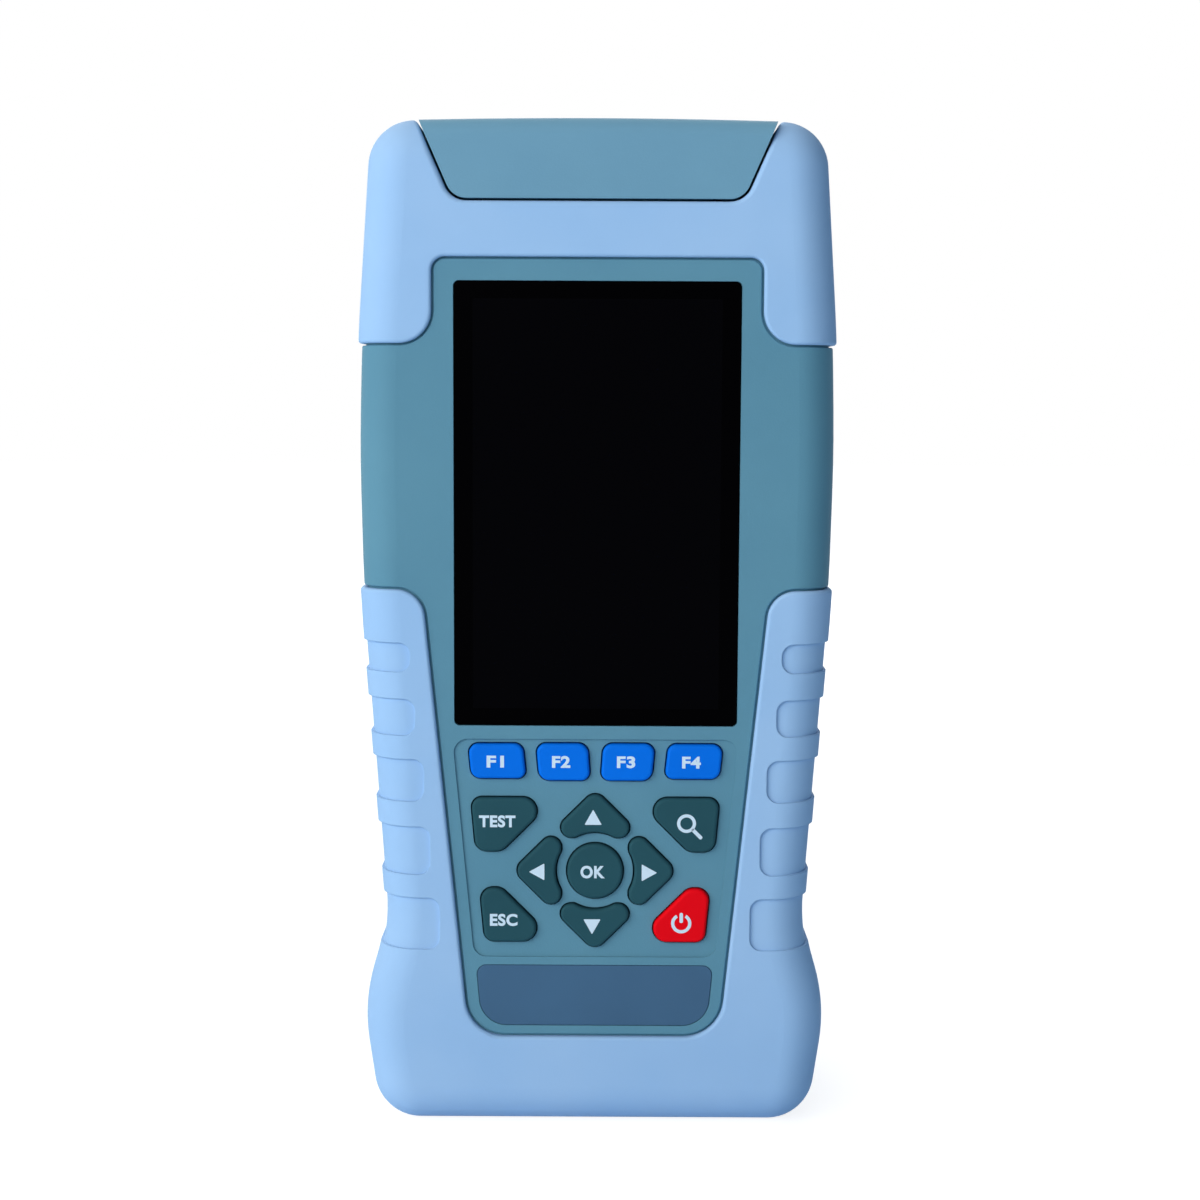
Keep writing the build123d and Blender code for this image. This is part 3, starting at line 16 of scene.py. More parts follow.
import bpy
from mathutils import Matrix, Vector

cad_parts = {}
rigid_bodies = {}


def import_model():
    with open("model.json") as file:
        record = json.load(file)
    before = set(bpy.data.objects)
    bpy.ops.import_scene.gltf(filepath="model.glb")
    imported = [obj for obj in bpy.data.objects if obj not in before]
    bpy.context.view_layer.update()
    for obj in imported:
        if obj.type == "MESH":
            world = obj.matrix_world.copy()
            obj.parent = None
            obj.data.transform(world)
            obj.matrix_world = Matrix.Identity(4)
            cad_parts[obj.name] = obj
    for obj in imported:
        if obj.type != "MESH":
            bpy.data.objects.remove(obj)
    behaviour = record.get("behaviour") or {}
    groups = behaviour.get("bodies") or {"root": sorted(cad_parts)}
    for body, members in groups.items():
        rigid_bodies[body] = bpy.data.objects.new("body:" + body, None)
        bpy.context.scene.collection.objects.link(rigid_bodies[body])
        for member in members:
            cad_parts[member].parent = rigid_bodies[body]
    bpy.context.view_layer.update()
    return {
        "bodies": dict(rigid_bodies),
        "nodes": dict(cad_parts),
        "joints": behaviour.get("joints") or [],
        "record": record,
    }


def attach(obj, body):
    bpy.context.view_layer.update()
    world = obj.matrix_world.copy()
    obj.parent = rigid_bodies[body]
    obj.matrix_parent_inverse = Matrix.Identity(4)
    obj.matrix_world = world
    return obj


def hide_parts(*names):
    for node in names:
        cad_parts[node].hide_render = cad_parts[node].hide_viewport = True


LOG = logging.getLogger("reflectometer")
MM = 0.001

WHITE = (1.0, 1.0, 1.0, 1.0)

Triple = tuple[float, float, float]
Colour = tuple[float, float, float, float]


def linear(rgb: Triple) -> Colour:
    """Turn a display colour into the linear one that shaders use.

    Args:
        rgb: Red, green and blue from 0 to 255.

    Returns:
        Linear red, green, blue and an alpha of 1.
    """
    parts = [channel / 255 for channel in rgb]
    bent = [c / 12.92 if c <= 0.04045 else ((c + 0.055) / 1.055) ** 2.4 for c in parts]
    return bent[0], bent[1], bent[2], 1.0


class Grain(Enum):
    """Surface textures: size of a bump and its depth, in millimetres."""

    SPARK = (0.42, 0.022)
    SATIN = (0.26, 0.010)
    SOFT = (0.60, 0.006)
    POLISHED = (1.60, 0.0008)
    CAST = (0.35, 0.016)


class Pattern(Enum):
    """Ways in which a finish's second colour lies on the surface."""

    DRIFT = "slow change of tone"
    TRACES = "copper lines under solder mask"
    GLASS = "display area inside a printed border"
    BRUSHED = "fine parallel lines"


@dataclass(frozen=True)
class Finish:
    """One finish: its colours, gloss and surface texture."""

    slot: str
    colour: Triple
    second: Triple
    roughness: float
    grain: Grain
    metallic: float = 0.0
    specular: float = 0.5
    rub: float = 0.06
    edge_mm: float = 0.12
    pattern: Pattern = Pattern.DRIFT


FINISHES: tuple[Finish, ...] = (
    Finish("boot_rubber", (162, 197, 232), (156, 193, 230), 0.62, Grain.SATIN,
           specular=0.08, edge_mm=0.3),
    Finish("case_plastic", (96, 145, 164), (92, 141, 161), 0.55, Grain.SPARK, specular=0.1),
    Finish("cover_plastic", (112, 158, 180), (108, 154, 177), 0.52, Grain.SPARK, specular=0.14),
    Finish("screen_black", (0, 0, 1), (2, 2, 4), 0.16, Grain.POLISHED,
           specular=0.01, pattern=Pattern.GLASS),
    Finish("key_blue", (0, 114, 229), (0, 109, 222), 0.6, Grain.SOFT, specular=0.07),
    Finish("key_dark", (40, 82, 91), (37, 77, 86), 0.62, Grain.SOFT, specular=0.08),
    Finish("key_red", (242, 2, 20), (236, 2, 20), 0.6, Grain.SOFT, specular=0.07),
    Finish("plate", (69, 104, 134), (66, 99, 128), 0.5, Grain.SOFT, specular=0.12),
    Finish("legend_print", (214, 232, 243), (210, 229, 241), 0.6, Grain.POLISHED,
           specular=0.1, edge_mm=0.0),
    Finish("black_foam", (24, 24, 26), (16, 16, 18), 0.9, Grain.SPARK, specular=0.3),
    Finish("grey_silicone", (120, 126, 130), (112, 118, 122), 0.6, Grain.SOFT),
    Finish("board_green", (20, 84, 50), (34, 112, 66), 0.4, Grain.SOFT,
           pattern=Pattern.TRACES),
    Finish("chip_black", (30, 30, 32), (24, 24, 26), 0.6, Grain.SATIN),
    Finish("display_glass", (12, 14, 18), (16, 18, 24), 0.12, Grain.POLISHED),
    Finish("steel", (190, 192, 196), (176, 178, 183), 0.3, Grain.SATIN,
           metallic=1.0, pattern=Pattern.BRUSHED),
    Finish("shield_can", (200, 202, 205), (188, 190, 194), 0.35, Grain.SATIN,
           metallic=1.0, pattern=Pattern.BRUSHED),
    Finish("module_can", (176, 180, 184), (165, 169, 174), 0.42, Grain.CAST,
           metallic=1.0, pattern=Pattern.BRUSHED),
    Finish("nickel", (205, 203, 196), (194, 191, 184), 0.22, Grain.SOFT,
           metallic=1.0, pattern=Pattern.BRUSHED),
    Finish("ceramic", (240, 238, 230), (234, 231, 222), 0.2, Grain.POLISHED),
    Finish("cell_wrap", (60, 120, 180), (54, 112, 170), 0.35, Grain.POLISHED),
    Finish("contact_metal", (208, 180, 110), (196, 168, 100), 0.28, Grain.SOFT,
           metallic=1.0, pattern=Pattern.BRUSHED),
    Finish("socket_black", (20, 20, 22), (26, 26, 28), 0.4, Grain.SATIN),
    Finish("fibre_yellow", (230, 205, 60), (222, 195, 52), 0.45, Grain.SOFT),
    Finish("ribbon_amber", (190, 130, 50), (206, 150, 70), 0.3, Grain.POLISHED),
    Finish("spacer_brass", (200, 170, 90), (188, 158, 80), 0.3, Grain.SOFT,
           metallic=1.0, pattern=Pattern.BRUSHED),
    Finish("buzzer_black", (26, 26, 28), (20, 20, 22), 0.45, Grain.SATIN),
)


class NodeSheet:
    """Short hand for adding and linking the nodes of one tree."""

    def __init__(self, tree: bpy.types.NodeTree) -> None:
        """Keep the tree that the nodes go to."""
        self.tree = tree

    def add(self, kind: str, sockets: dict[Any, Any] | None = None,
            **options: Any) -> bpy.types.Node:
        """Add a node.

        Args:
            kind: Blender's name of the node type.
            sockets: Value or output socket for each input, by its name or place.
            options: Settings of the node itself.

        Returns:
            The new node.
        """
        node = self.tree.nodes.new(kind)
        for name, value in options.items():
            setattr(node, name, value)
        for key, value in (sockets or {}).items():
            if isinstance(value, bpy.types.NodeSocket):
                self.tree.links.new(value, node.inputs[key])
            else:
                node.inputs[key].default_value = value
        return node

    def math(self, operation: str, first: Any, second: Any = 0.0, third: Any = 0.0,
             clamp: bool = False) -> bpy.types.NodeSocket:
        """Add a Math node and return its output."""
        node = self.add("ShaderNodeMath", {0: first, 1: second, 2: third},
                        operation=operation, use_clamp=clamp)
        return node.outputs[0]


class EffectGroups:
    """Node groups that more than one finish uses, each built once."""

    def __init__(self) -> None:
        """Build every group."""
        self.grain = self._grain()
        self.drift = self._drift()
        self.rub = self._rub()
        self.brush = self._brush()
        self.edge = self._edge()

    @staticmethod
    def _open(name: str, inputs: Iterable[tuple[str, float]], output: str,
              kind: str = "NodeSocketFloat") -> tuple[NodeSheet, Any, Any]:
        """Start a group with its sockets.

        Args:
            name: The group's name.
            inputs: Name and usual value of each number that goes in.
            output: Name of what comes out.
            kind: Socket type of what comes out.

        Returns:
            The sheet, the inner input node and the inner output node.
        """
        tree = bpy.data.node_groups.new(name, "ShaderNodeTree")
        for title, value in inputs:
            socket = tree.interface.new_socket(
                title, in_out="INPUT", socket_type="NodeSocketFloat")
            socket.default_value = value
        tree.interface.new_socket(output, in_out="OUTPUT", socket_type=kind)
        sheet = NodeSheet(tree)
        return sheet, sheet.add("NodeGroupInput"), sheet.add("NodeGroupOutput")

    def _grain(self) -> bpy.types.NodeTree:
        """Even bumps of a moulded or blasted surface, as a height."""
        sheet, inside, outside = self._open("moulded_grain", [("Bump Size", 0.0004)], "Height")
        place = sheet.add("ShaderNodeTexCoord").outputs["Object"]
        scale = sheet.math("DIVIDE", 1.0, inside.outputs["Bump Size"])
        coarse = sheet.add("ShaderNodeTexNoise", {
            "Vector": place, "Scale": scale, "Detail": 2.0, "Roughness": 0.55})
        cells = sheet.add("ShaderNodeTexVoronoi", {
            "Vector": place, "Scale": scale, "Randomness": 1.0}, feature="SMOOTH_F1")
        height = sheet.math("MULTIPLY_ADD", cells.outputs[0], -0.4, coarse.outputs[0])
        sheet.tree.links.new(height, outside.inputs["Height"])
        return sheet.tree

    def _drift(self) -> bpy.types.NodeTree:
        """Slow change of tone over a moulding, as a mask."""
        sheet, inside, outside = self._open("tone_drift", [("Patch Size", 0.03)], "Mask")
        place = sheet.add("ShaderNodeTexCoord").outputs["Object"]
        scale = sheet.math("DIVIDE", 1.0, inside.outputs["Patch Size"])
        cloud = sheet.add("ShaderNodeTexNoise", {
            "Vector": place, "Scale": scale, "Detail": 3.0, "Roughness": 0.5})
        spread = sheet.add("ShaderNodeMapRange", {
            0: cloud.outputs[0], 1: 0.35, 2: 0.65, 3: 0.0, 4: 1.0})
        sheet.tree.links.new(spread.outputs[0], outside.inputs["Mask"])
        return sheet.tree

    def _rub(self) -> bpy.types.NodeTree:
        """Faint handling marks: thin crossing streaks and smudges, as a mask."""
        sheet, inside, outside = self._open("handling_marks", [("Streak Size", 0.004)], "Mask")
        place = sheet.add("ShaderNodeTexCoord").outputs["Object"]
        scale = sheet.math("DIVIDE", 1.0, inside.outputs["Streak Size"])
        streaks = []
        for turn, stretch in ((0.5, 9.0), (-0.9, 14.0)):
            turned = sheet.add("ShaderNodeMapping", {
                "Vector": place, "Rotation": (0.0, turn, 0.3), "Scale": (1.0, 1.0, stretch)})
            noise = sheet.add("ShaderNodeTexNoise", {
                "Vector": turned.outputs[0], "Scale": scale, "Detail": 4.0, "Roughness": 0.7})
            streaks.append(sheet.add("ShaderNodeMapRange", {
                0: noise.outputs[0], 1: 0.60, 2: 0.72, 3: 0.0, 4: 1.0}).outputs[0])
        smudge = sheet.add("ShaderNodeTexNoise", {
            "Vector": place, "Scale": 60.0, "Detail": 2.0})
        both = sheet.math("MAXIMUM", streaks[0], streaks[1])
        mask = sheet.math("MULTIPLY_ADD", smudge.outputs[0], 0.5, both, clamp=True)
        sheet.tree.links.new(mask, outside.inputs["Mask"])
        return sheet.tree

    def _brush(self) -> bpy.types.NodeTree:
        """Fine parallel lines of turned or brushed metal, as a mask."""
        sheet, inside, outside = self._open("brushed_lines", [("Line Size", 0.0003)], "Mask")
        place = sheet.add("ShaderNodeTexCoord").outputs["Object"]
        scale = sheet.math("DIVIDE", 1.0, inside.outputs["Line Size"])
        long = sheet.add("ShaderNodeMapping", {"Vector": place, "Scale": (0.06, 0.06, 1.0)})
        lines = sheet.add("ShaderNodeTexNoise", {
            "Vector": long.outputs[0], "Scale": scale, "Detail": 2.0})
        sheet.tree.links.new(lines.outputs[0], outside.inputs["Mask"])
        return sheet.tree

    def _edge(self) -> bpy.types.NodeTree:
        """Softly rounded edges, as a normal."""
        sheet, inside, outside = self._open(
            "eased_edges", [("Radius", 0.0001)], "Normal", kind="NodeSocketVector")
        eased = sheet.add("ShaderNodeBevel", {"Radius": inside.outputs["Radius"]}, samples=4)
        sheet.tree.links.new(eased.outputs[0], outside.inputs["Normal"])
        return sheet.tree


@dataclass
class FinishShop:
    """Makes the material of each finish once and puts it on pieces."""

    groups: EffectGroups
    view_half_width_mm: float = 26.4
    view_low_z_mm: float = 93.3
    view_high_z_mm: float = 180.7
    line_size: float = 0.0003
    patch_size: float = 0.03
    streak_size: float = 0.004
    made: dict[str, bpy.types.Material] = field(default_factory=dict)

    def material(self, slot: str) -> bpy.types.Material:
        """Return the material of a slot, made on its first use."""
        if slot not in self.made:
            finish = next(item for item in FINISHES if item.slot == slot)
            self.made[slot] = self._build(finish)
        return self.made[slot]

    def coat(self, piece: bpy.types.Object, slot: str) -> None:
        """Give a piece one finish all over."""
        piece.data.materials.clear()
        piece.data.materials.append(self.material(slot))

    def recoat(self, piece: bpy.types.Object, slot: str) -> None:
        """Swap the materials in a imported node's own slots."""
        for place in piece.material_slots:
            place.material = self.material(slot)

    def _group(self, sheet: NodeSheet, tree: bpy.types.NodeTree,
               values: dict[str, float]) -> bpy.types.NodeSocket:
        """Place a shared group with its values and return its output."""
        node = sheet.add("ShaderNodeGroup", node_tree=tree)
        for name, value in values.items():
            node.inputs[name].default_value = value
        return node.outputs[0]

    def _mask(self, sheet: NodeSheet, finish: Finish) -> bpy.types.NodeSocket:
        """Mask that says where the finish's second colour lies."""
        if finish.pattern is Pattern.BRUSHED:
            return self._group(sheet, self.groups.brush, {"Line Size": self.line_size})
        if finish.pattern is Pattern.TRACES:
            return self._traces(sheet)
        if finish.pattern is Pattern.GLASS:
            return self._display_zone(sheet)
        return self._group(sheet, self.groups.drift, {"Patch Size": self.patch_size})

    def _traces(self, sheet: NodeSheet) -> bpy.types.NodeSocket:
        """Copper tracks that show through solder mask."""
        place = sheet.add("ShaderNodeTexCoord").outputs["Object"]
        flat = sheet.add("ShaderNodeMapping", {
            "Vector": place, "Rotation": (math.radians(-90), 0.0, 0.0)})
        bricks = sheet.add("ShaderNodeTexBrick", {
            "Vector": flat.outputs[0], "Color1": (0, 0, 0, 1), "Color2": (0, 0, 0, 1),
            "Mortar": (1, 1, 1, 1), "Scale": 260.0, "Mortar Size": 0.06,
            "Brick Width": 1.7, "Row Height": 0.45})
        return bricks.outputs[0]

    def _display_zone(self, sheet: NodeSheet) -> bpy.types.NodeSocket:
        """The part of the window that has the display behind it."""
        place = sheet.add("ShaderNodeTexCoord").outputs["Object"]
        split = sheet.add("ShaderNodeSeparateXYZ", {0: place})
        across = sheet.math("ABSOLUTE", split.outputs[0])
        inside = sheet.math("LESS_THAN", across, self.view_half_width_mm * MM)
        over = sheet.math("GREATER_THAN", split.outputs[2], self.view_low_z_mm * MM)
        under = sheet.math("LESS_THAN", split.outputs[2], self.view_high_z_mm * MM)
        return sheet.math("MULTIPLY", sheet.math("MULTIPLY", over, under), inside)

    def _build(self, finish: Finish) -> bpy.types.Material:
        """Build a finish's material.

        Args:
            finish: The colours, gloss and texture.

        Returns:
            The new material.
        """
        material = bpy.data.materials.new(finish.slot)
        material.use_nodes = True
        sheet = NodeSheet(material.node_tree)
        shader = material.node_tree.nodes["Principled BSDF"]
        shader.inputs["Metallic"].default_value = finish.metallic
        shader.inputs["Specular IOR Level"].default_value = finish.specular
        mask = self._mask(sheet, finish)
        tone = sheet.add("ShaderNodeMix", {
            0: mask, 6: linear(finish.colour), 7: linear(finish.second)}, data_type="RGBA")
        marks = self._group(sheet, self.groups.rub, {"Streak Size": self.streak_size})
        gloss = sheet.add("ShaderNodeMapRange", {
            0: marks, 1: 0.0, 2: 1.0, 3: finish.roughness, 4: finish.roughness + finish.rub})
        size_mm, depth_mm = finish.grain.value
        height = self._group(sheet, self.groups.grain, {"Bump Size": size_mm * MM})
        eased = self._group(sheet, self.groups.edge, {"Radius": finish.edge_mm * MM})
        bump = sheet.add("ShaderNodeBump", {
            "Strength": 1.0, "Distance": depth_mm * MM, "Height": height, "Normal": eased})
        links = material.node_tree.links
        links.new(tone.outputs[2], shader.inputs["Base Color"])
        links.new(gloss.outputs[0], shader.inputs["Roughness"])
        links.new(bump.outputs[0], shader.inputs["Normal"])
        material.diffuse_color = linear(finish.colour)
        return material


class Bench:
    """Modelling steps that several pieces share, made with Blender's own tools."""

    MERGE_WITHIN = 1e-7

    @staticmethod
    def clear() -> None:
        """Deselect every object."""
        bpy.ops.object.select_all(action="DESELECT")

    @staticmethod
    def active() -> bpy.types.Object:
        """The piece that the last tool made."""
        return bpy.context.view_layer.objects.active

    @staticmethod
    def edit(piece: bpy.types.Object) -> None:
        """Open a piece in edit mode with nothing selected."""
        Bench.clear()
        piece.select_set(True)
        bpy.context.view_layer.objects.active = piece
        bpy.ops.object.mode_set(mode="EDIT")
        bpy.ops.mesh.select_all(action="DESELECT")

    @staticmethod
    def pick(piece: bpy.types.Object, kind: str, test: Callable[[Any], bool]) -> None:
        """Select faces, edges or vertices of the piece being edited.

        Args:
            piece: The piece in edit mode.
            kind: FACE, EDGE or VERT.
            test: True for the elements to take.
        """
        bpy.ops.object.mode_set(mode="OBJECT")
        mesh = piece.data
        for group in (mesh.polygons, mesh.edges, mesh.vertices):
            group.foreach_set("select", [False] * len(group))
        group = {"FACE": mesh.polygons, "EDGE": mesh.edges, "VERT": mesh.vertices}[kind]
        for element in group:
            element.select = test(element)
        bpy.ops.object.mode_set(mode="EDIT")
        bpy.ops.mesh.select_mode(type=kind)

    @staticmethod
    def done() -> None:
        """Close edit mode."""
        bpy.ops.object.mode_set(mode="OBJECT")

    @staticmethod
    def apply(piece: bpy.types.Object, kind: str, **settings: Any) -> None:
        """Add one modifier with its settings and apply it."""
        Bench.clear()
        piece.select_set(True)
        bpy.context.view_layer.objects.active = piece
        modifier = piece.modifiers.new(kind.title(), kind)
        for name, value in settings.items():
            setattr(modifier, name, value)
        bpy.ops.object.modifier_apply(modifier=modifier.name)

    @staticmethod
    def settle(piece: bpy.types.Object) -> None:
        """Put a piece's place, turn and scale into its mesh."""
        Bench.clear()
        piece.select_set(True)
        bpy.context.view_layer.objects.active = piece
        bpy.ops.object.transform_apply(location=True, rotation=True, scale=True)

    @staticmethod
    def join(pieces: list[bpy.types.Object], name: str) -> bpy.types.Object:
        """Join pieces into one and name it."""
        Bench.clear()
        for piece in pieces:
            piece.select_set(True)
        bpy.context.view_layer.objects.active = pieces[0]
        if len(pieces) > 1:
            bpy.ops.object.join()
        joined = Bench.active()
        joined.name = name
        joined.data.name = name
        return joined

    @staticmethod
    def outward(piece: bpy.types.Object) -> None:
        """Merge doubles and turn every face outwards."""
        Bench.edit(piece)
        bpy.ops.mesh.select_all(action="SELECT")
        bpy.ops.mesh.remove_doubles(threshold=Bench.MERGE_WITHIN)
        bpy.ops.mesh.normals_make_consistent(inside=False)
        Bench.done()


@dataclass
class Legend:
    """Base of every printed mark: a thin flat shape on the top of one key."""

    body: str
    x_mm: float
    z_mm: float
    top_y_mm: float = -27.95
    ink_mm: float = 0.035
    sunk_mm: float = 0.01

    def draw(self) -> bpy.types.Object:
        """Make the flat shape around the origin, in X and Y."""
        raise NotImplementedError

    def build(self, shop: FinishShop) -> bpy.types.Object:
        """Draw the mark, give it thickness and lay it on its key.

        Args:
            shop: Where the ink comes from.

        Returns:
            The finished piece, riding on its key.
        """
        mark = self.draw()
        Bench.settle(mark)
        Bench.apply(mark, "SOLIDIFY", thickness=(self.ink_mm + self.sunk_mm) * MM, offset=-1.0)
        mark.rotation_euler = (math.radians(90), 0.0, 0.0)
        mark.location = (
            self.x_mm * MM, (self.top_y_mm - self.ink_mm) * MM, self.z_mm * MM)
        Bench.settle(mark)
        Bench.outward(mark)
        Bench.clear()
        mark.select_set(True)
        bpy.ops.object.shade_flat()
        mark.name = f"legend_{self.body.removeprefix('key_')}"
        mark.data.name = mark.name
        shop.coat(mark, "legend_print")
        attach(mark, self.body)
        return mark


@dataclass
class Word(Legend):
    """Short plain lettering."""

    text: str = ""
    height_mm: float = 2.6
    width_mm: float = 4.0
    stroke: float = 0.038
    spacing: float = 1.08
    curve_steps: int = 6
    merge_within: float = 1e-4

    def draw(self) -> bpy.types.Object:
        """Set the word in the built in typeface and fit it to its height and width."""
        Bench.clear()
        bpy.ops.object.text_add()
        word = Bench.active()
        word.data.body = self.text
        word.data.offset = self.stroke
        word.data.space_character = self.spacing
        word.data.resolution_u = self.curve_steps
        Bench.clear()
        word.select_set(True)
        bpy.ops.object.convert(target="MESH")
        word = Bench.active()
        Bench.edit(word)
        bpy.ops.mesh.select_all(action="SELECT")
        bpy.ops.mesh.remove_doubles(threshold=self.merge_within)
        bpy.ops.mesh.normals_make_consistent(inside=False)
        Bench.done()
        low = [min(v.co[axis] for v in word.data.vertices) for axis in (0, 1)]
        high = [max(v.co[axis] for v in word.data.vertices) for axis in (0, 1)]
        wide = self.width_mm * MM / (high[0] - low[0])
        tall = self.height_mm * MM / (high[1] - low[1])
        word.scale = (wide, tall, 1.0)
        word.location = (
            -wide * (low[0] + high[0]) / 2, -tall * (low[1] + high[1]) / 2, 0.0)
        return word


@dataclass
class Arrow(Legend):
    """Triangle that points up when turned by nothing."""

    turn_deg: float = 0.0
    width_mm: float = 3.75
    height_mm: float = 3.35
    corner_mm: float = 0.22
    corner_steps: int = 3
    disc_tall: float = 1.5
    disc_wide: float = math.sqrt(3.0)

    def draw(self) -> bpy.types.Object:
        """Start from a three sided disc of radius 1, stretch it and ease its corners."""
        Bench.clear()
        bpy.ops.mesh.primitive_circle_add(vertices=3, radius=1.0, fill_type="NGON")
        arrow = Bench.active()
        arrow.scale = (
            self.width_mm * MM / self.disc_wide, self.height_mm * MM / self.disc_tall, 1.0)
        Bench.settle(arrow)
        Bench.edit(arrow)
        bpy.ops.mesh.select_all(action="SELECT")
        bpy.ops.mesh.bevel(
            offset=self.corner_mm * MM, segments=self.corner_steps, affect="VERTICES")
        bpy.ops.mesh.select_all(action="SELECT")
        drop = self.height_mm * MM * (1 / self.disc_tall - 0.5)
        bpy.ops.transform.translate(value=(0.0, -drop, 0.0))
        Bench.done()
        arrow.rotation_euler = (0.0, 0.0, math.radians(self.turn_deg))
        return arrow


@dataclass
class Ring(Legend):
    """Ring with a bar, open for the bar where it asks for it."""

    outer_mm: float = 2.05
    inner_mm: float = 1.35
    gap_deg: float = 0.0
    bar_width_mm: float = 0.8
    bar_from_mm: float = 1.8
    bar_to_mm: float = 4.7
    bar_turn_deg: float = -135.0
    bar_end_share: float = 0.42
    bar_end_steps: int = 5
    ring_steps: int = 72

    def draw(self) -> bpy.types.Object:
        """Inset a disc to a ring, open its gap, and add the round ended bar."""
        Bench.clear()
        bpy.ops.mesh.primitive_circle_add(
            vertices=self.ring_steps, radius=self.outer_mm * MM, fill_type="NGON")
        ring = Bench.active()
        Bench.edit(ring)
        bpy.ops.mesh.select_all(action="SELECT")
        bpy.ops.mesh.inset(thickness=(self.outer_mm - self.inner_mm) * MM)
        Bench.pick(ring, "FACE", lambda face: len(face.vertices) > 4)
        bpy.ops.mesh.delete(type="FACE")
        if self.gap_deg:
            half = math.radians(self.gap_deg) / 2
            Bench.pick(ring, "FACE", lambda face: abs(
                math.atan2(face.center.x, face.center.y)) < half)
            bpy.ops.mesh.delete(type="FACE")
        Bench.done()
        length = self.bar_to_mm - self.bar_from_mm
        Bench.clear()
        bpy.ops.mesh.primitive_plane_add(size=1.0)
        bar = Bench.active()
        bar.scale = (self.bar_width_mm * MM, length * MM, 1.0)
        bar.location = (0.0, (self.bar_from_mm + self.bar_to_mm) / 2 * MM, 0.0)
        Bench.settle(bar)
        Bench.edit(bar)
        bpy.ops.mesh.select_all(action="SELECT")
        bpy.ops.mesh.bevel(
            offset=self.bar_width_mm * self.bar_end_share * MM,
            segments=self.bar_end_steps, affect="VERTICES")
        Bench.done()
        bar.rotation_euler = (0.0, 0.0, math.radians(self.bar_turn_deg))
        Bench.settle(bar)
        return Bench.join([ring, bar], "ring")


@dataclass
class Keypad:
    """Printed marks of the thirteen keys."""

    legends: tuple[Legend, ...] = (
        Word("key_f1", -21.6, 81.8, text="F1", width_mm=3.75),
        Word("key_f2", -7.4, 81.8, text="F2", width_mm=3.95),
        Word("key_f3", 6.6, 81.8, text="F3", width_mm=3.95),
        Word("key_f4", 20.7, 81.8, text="F4", width_mm=4.05),
        Word("key_test", -21.2, 68.7, text="TEST", height_mm=2.65, width_mm=7.9),
        Word("key_escape", -19.8, 46.9, text="ESC", height_mm=2.7, width_mm=6.0),
        Word("key_ok", -0.5, 57.6, text="OK", height_mm=2.8, width_mm=5.3),
        Arrow("key_up", -0.45, 69.7),
        Arrow("key_left", -12.65, 57.6, turn_deg=90.0),
        Arrow("key_down", -0.6, 45.45, turn_deg=180.0),
        Arrow("key_right", 11.8, 57.5, turn_deg=270.0),
        Ring("key_zoom", 19.75, 68.4),
        Ring("key_power", 18.8, 46.3, outer_mm=2.2, inner_mm=1.5, gap_deg=62.0,
             bar_width_mm=0.75, bar_from_mm=0.1, bar_to_mm=2.35, bar_turn_deg=0.0),
    )

    def build(self, shop: FinishShop) -> None:
        """Lay every mark on its key."""
        for legend in self.legends:
            piece = legend.build(shop)
            LOG.info(
                "%s rides on %s, %d faces", piece.name, legend.body, len(piece.data.polygons))


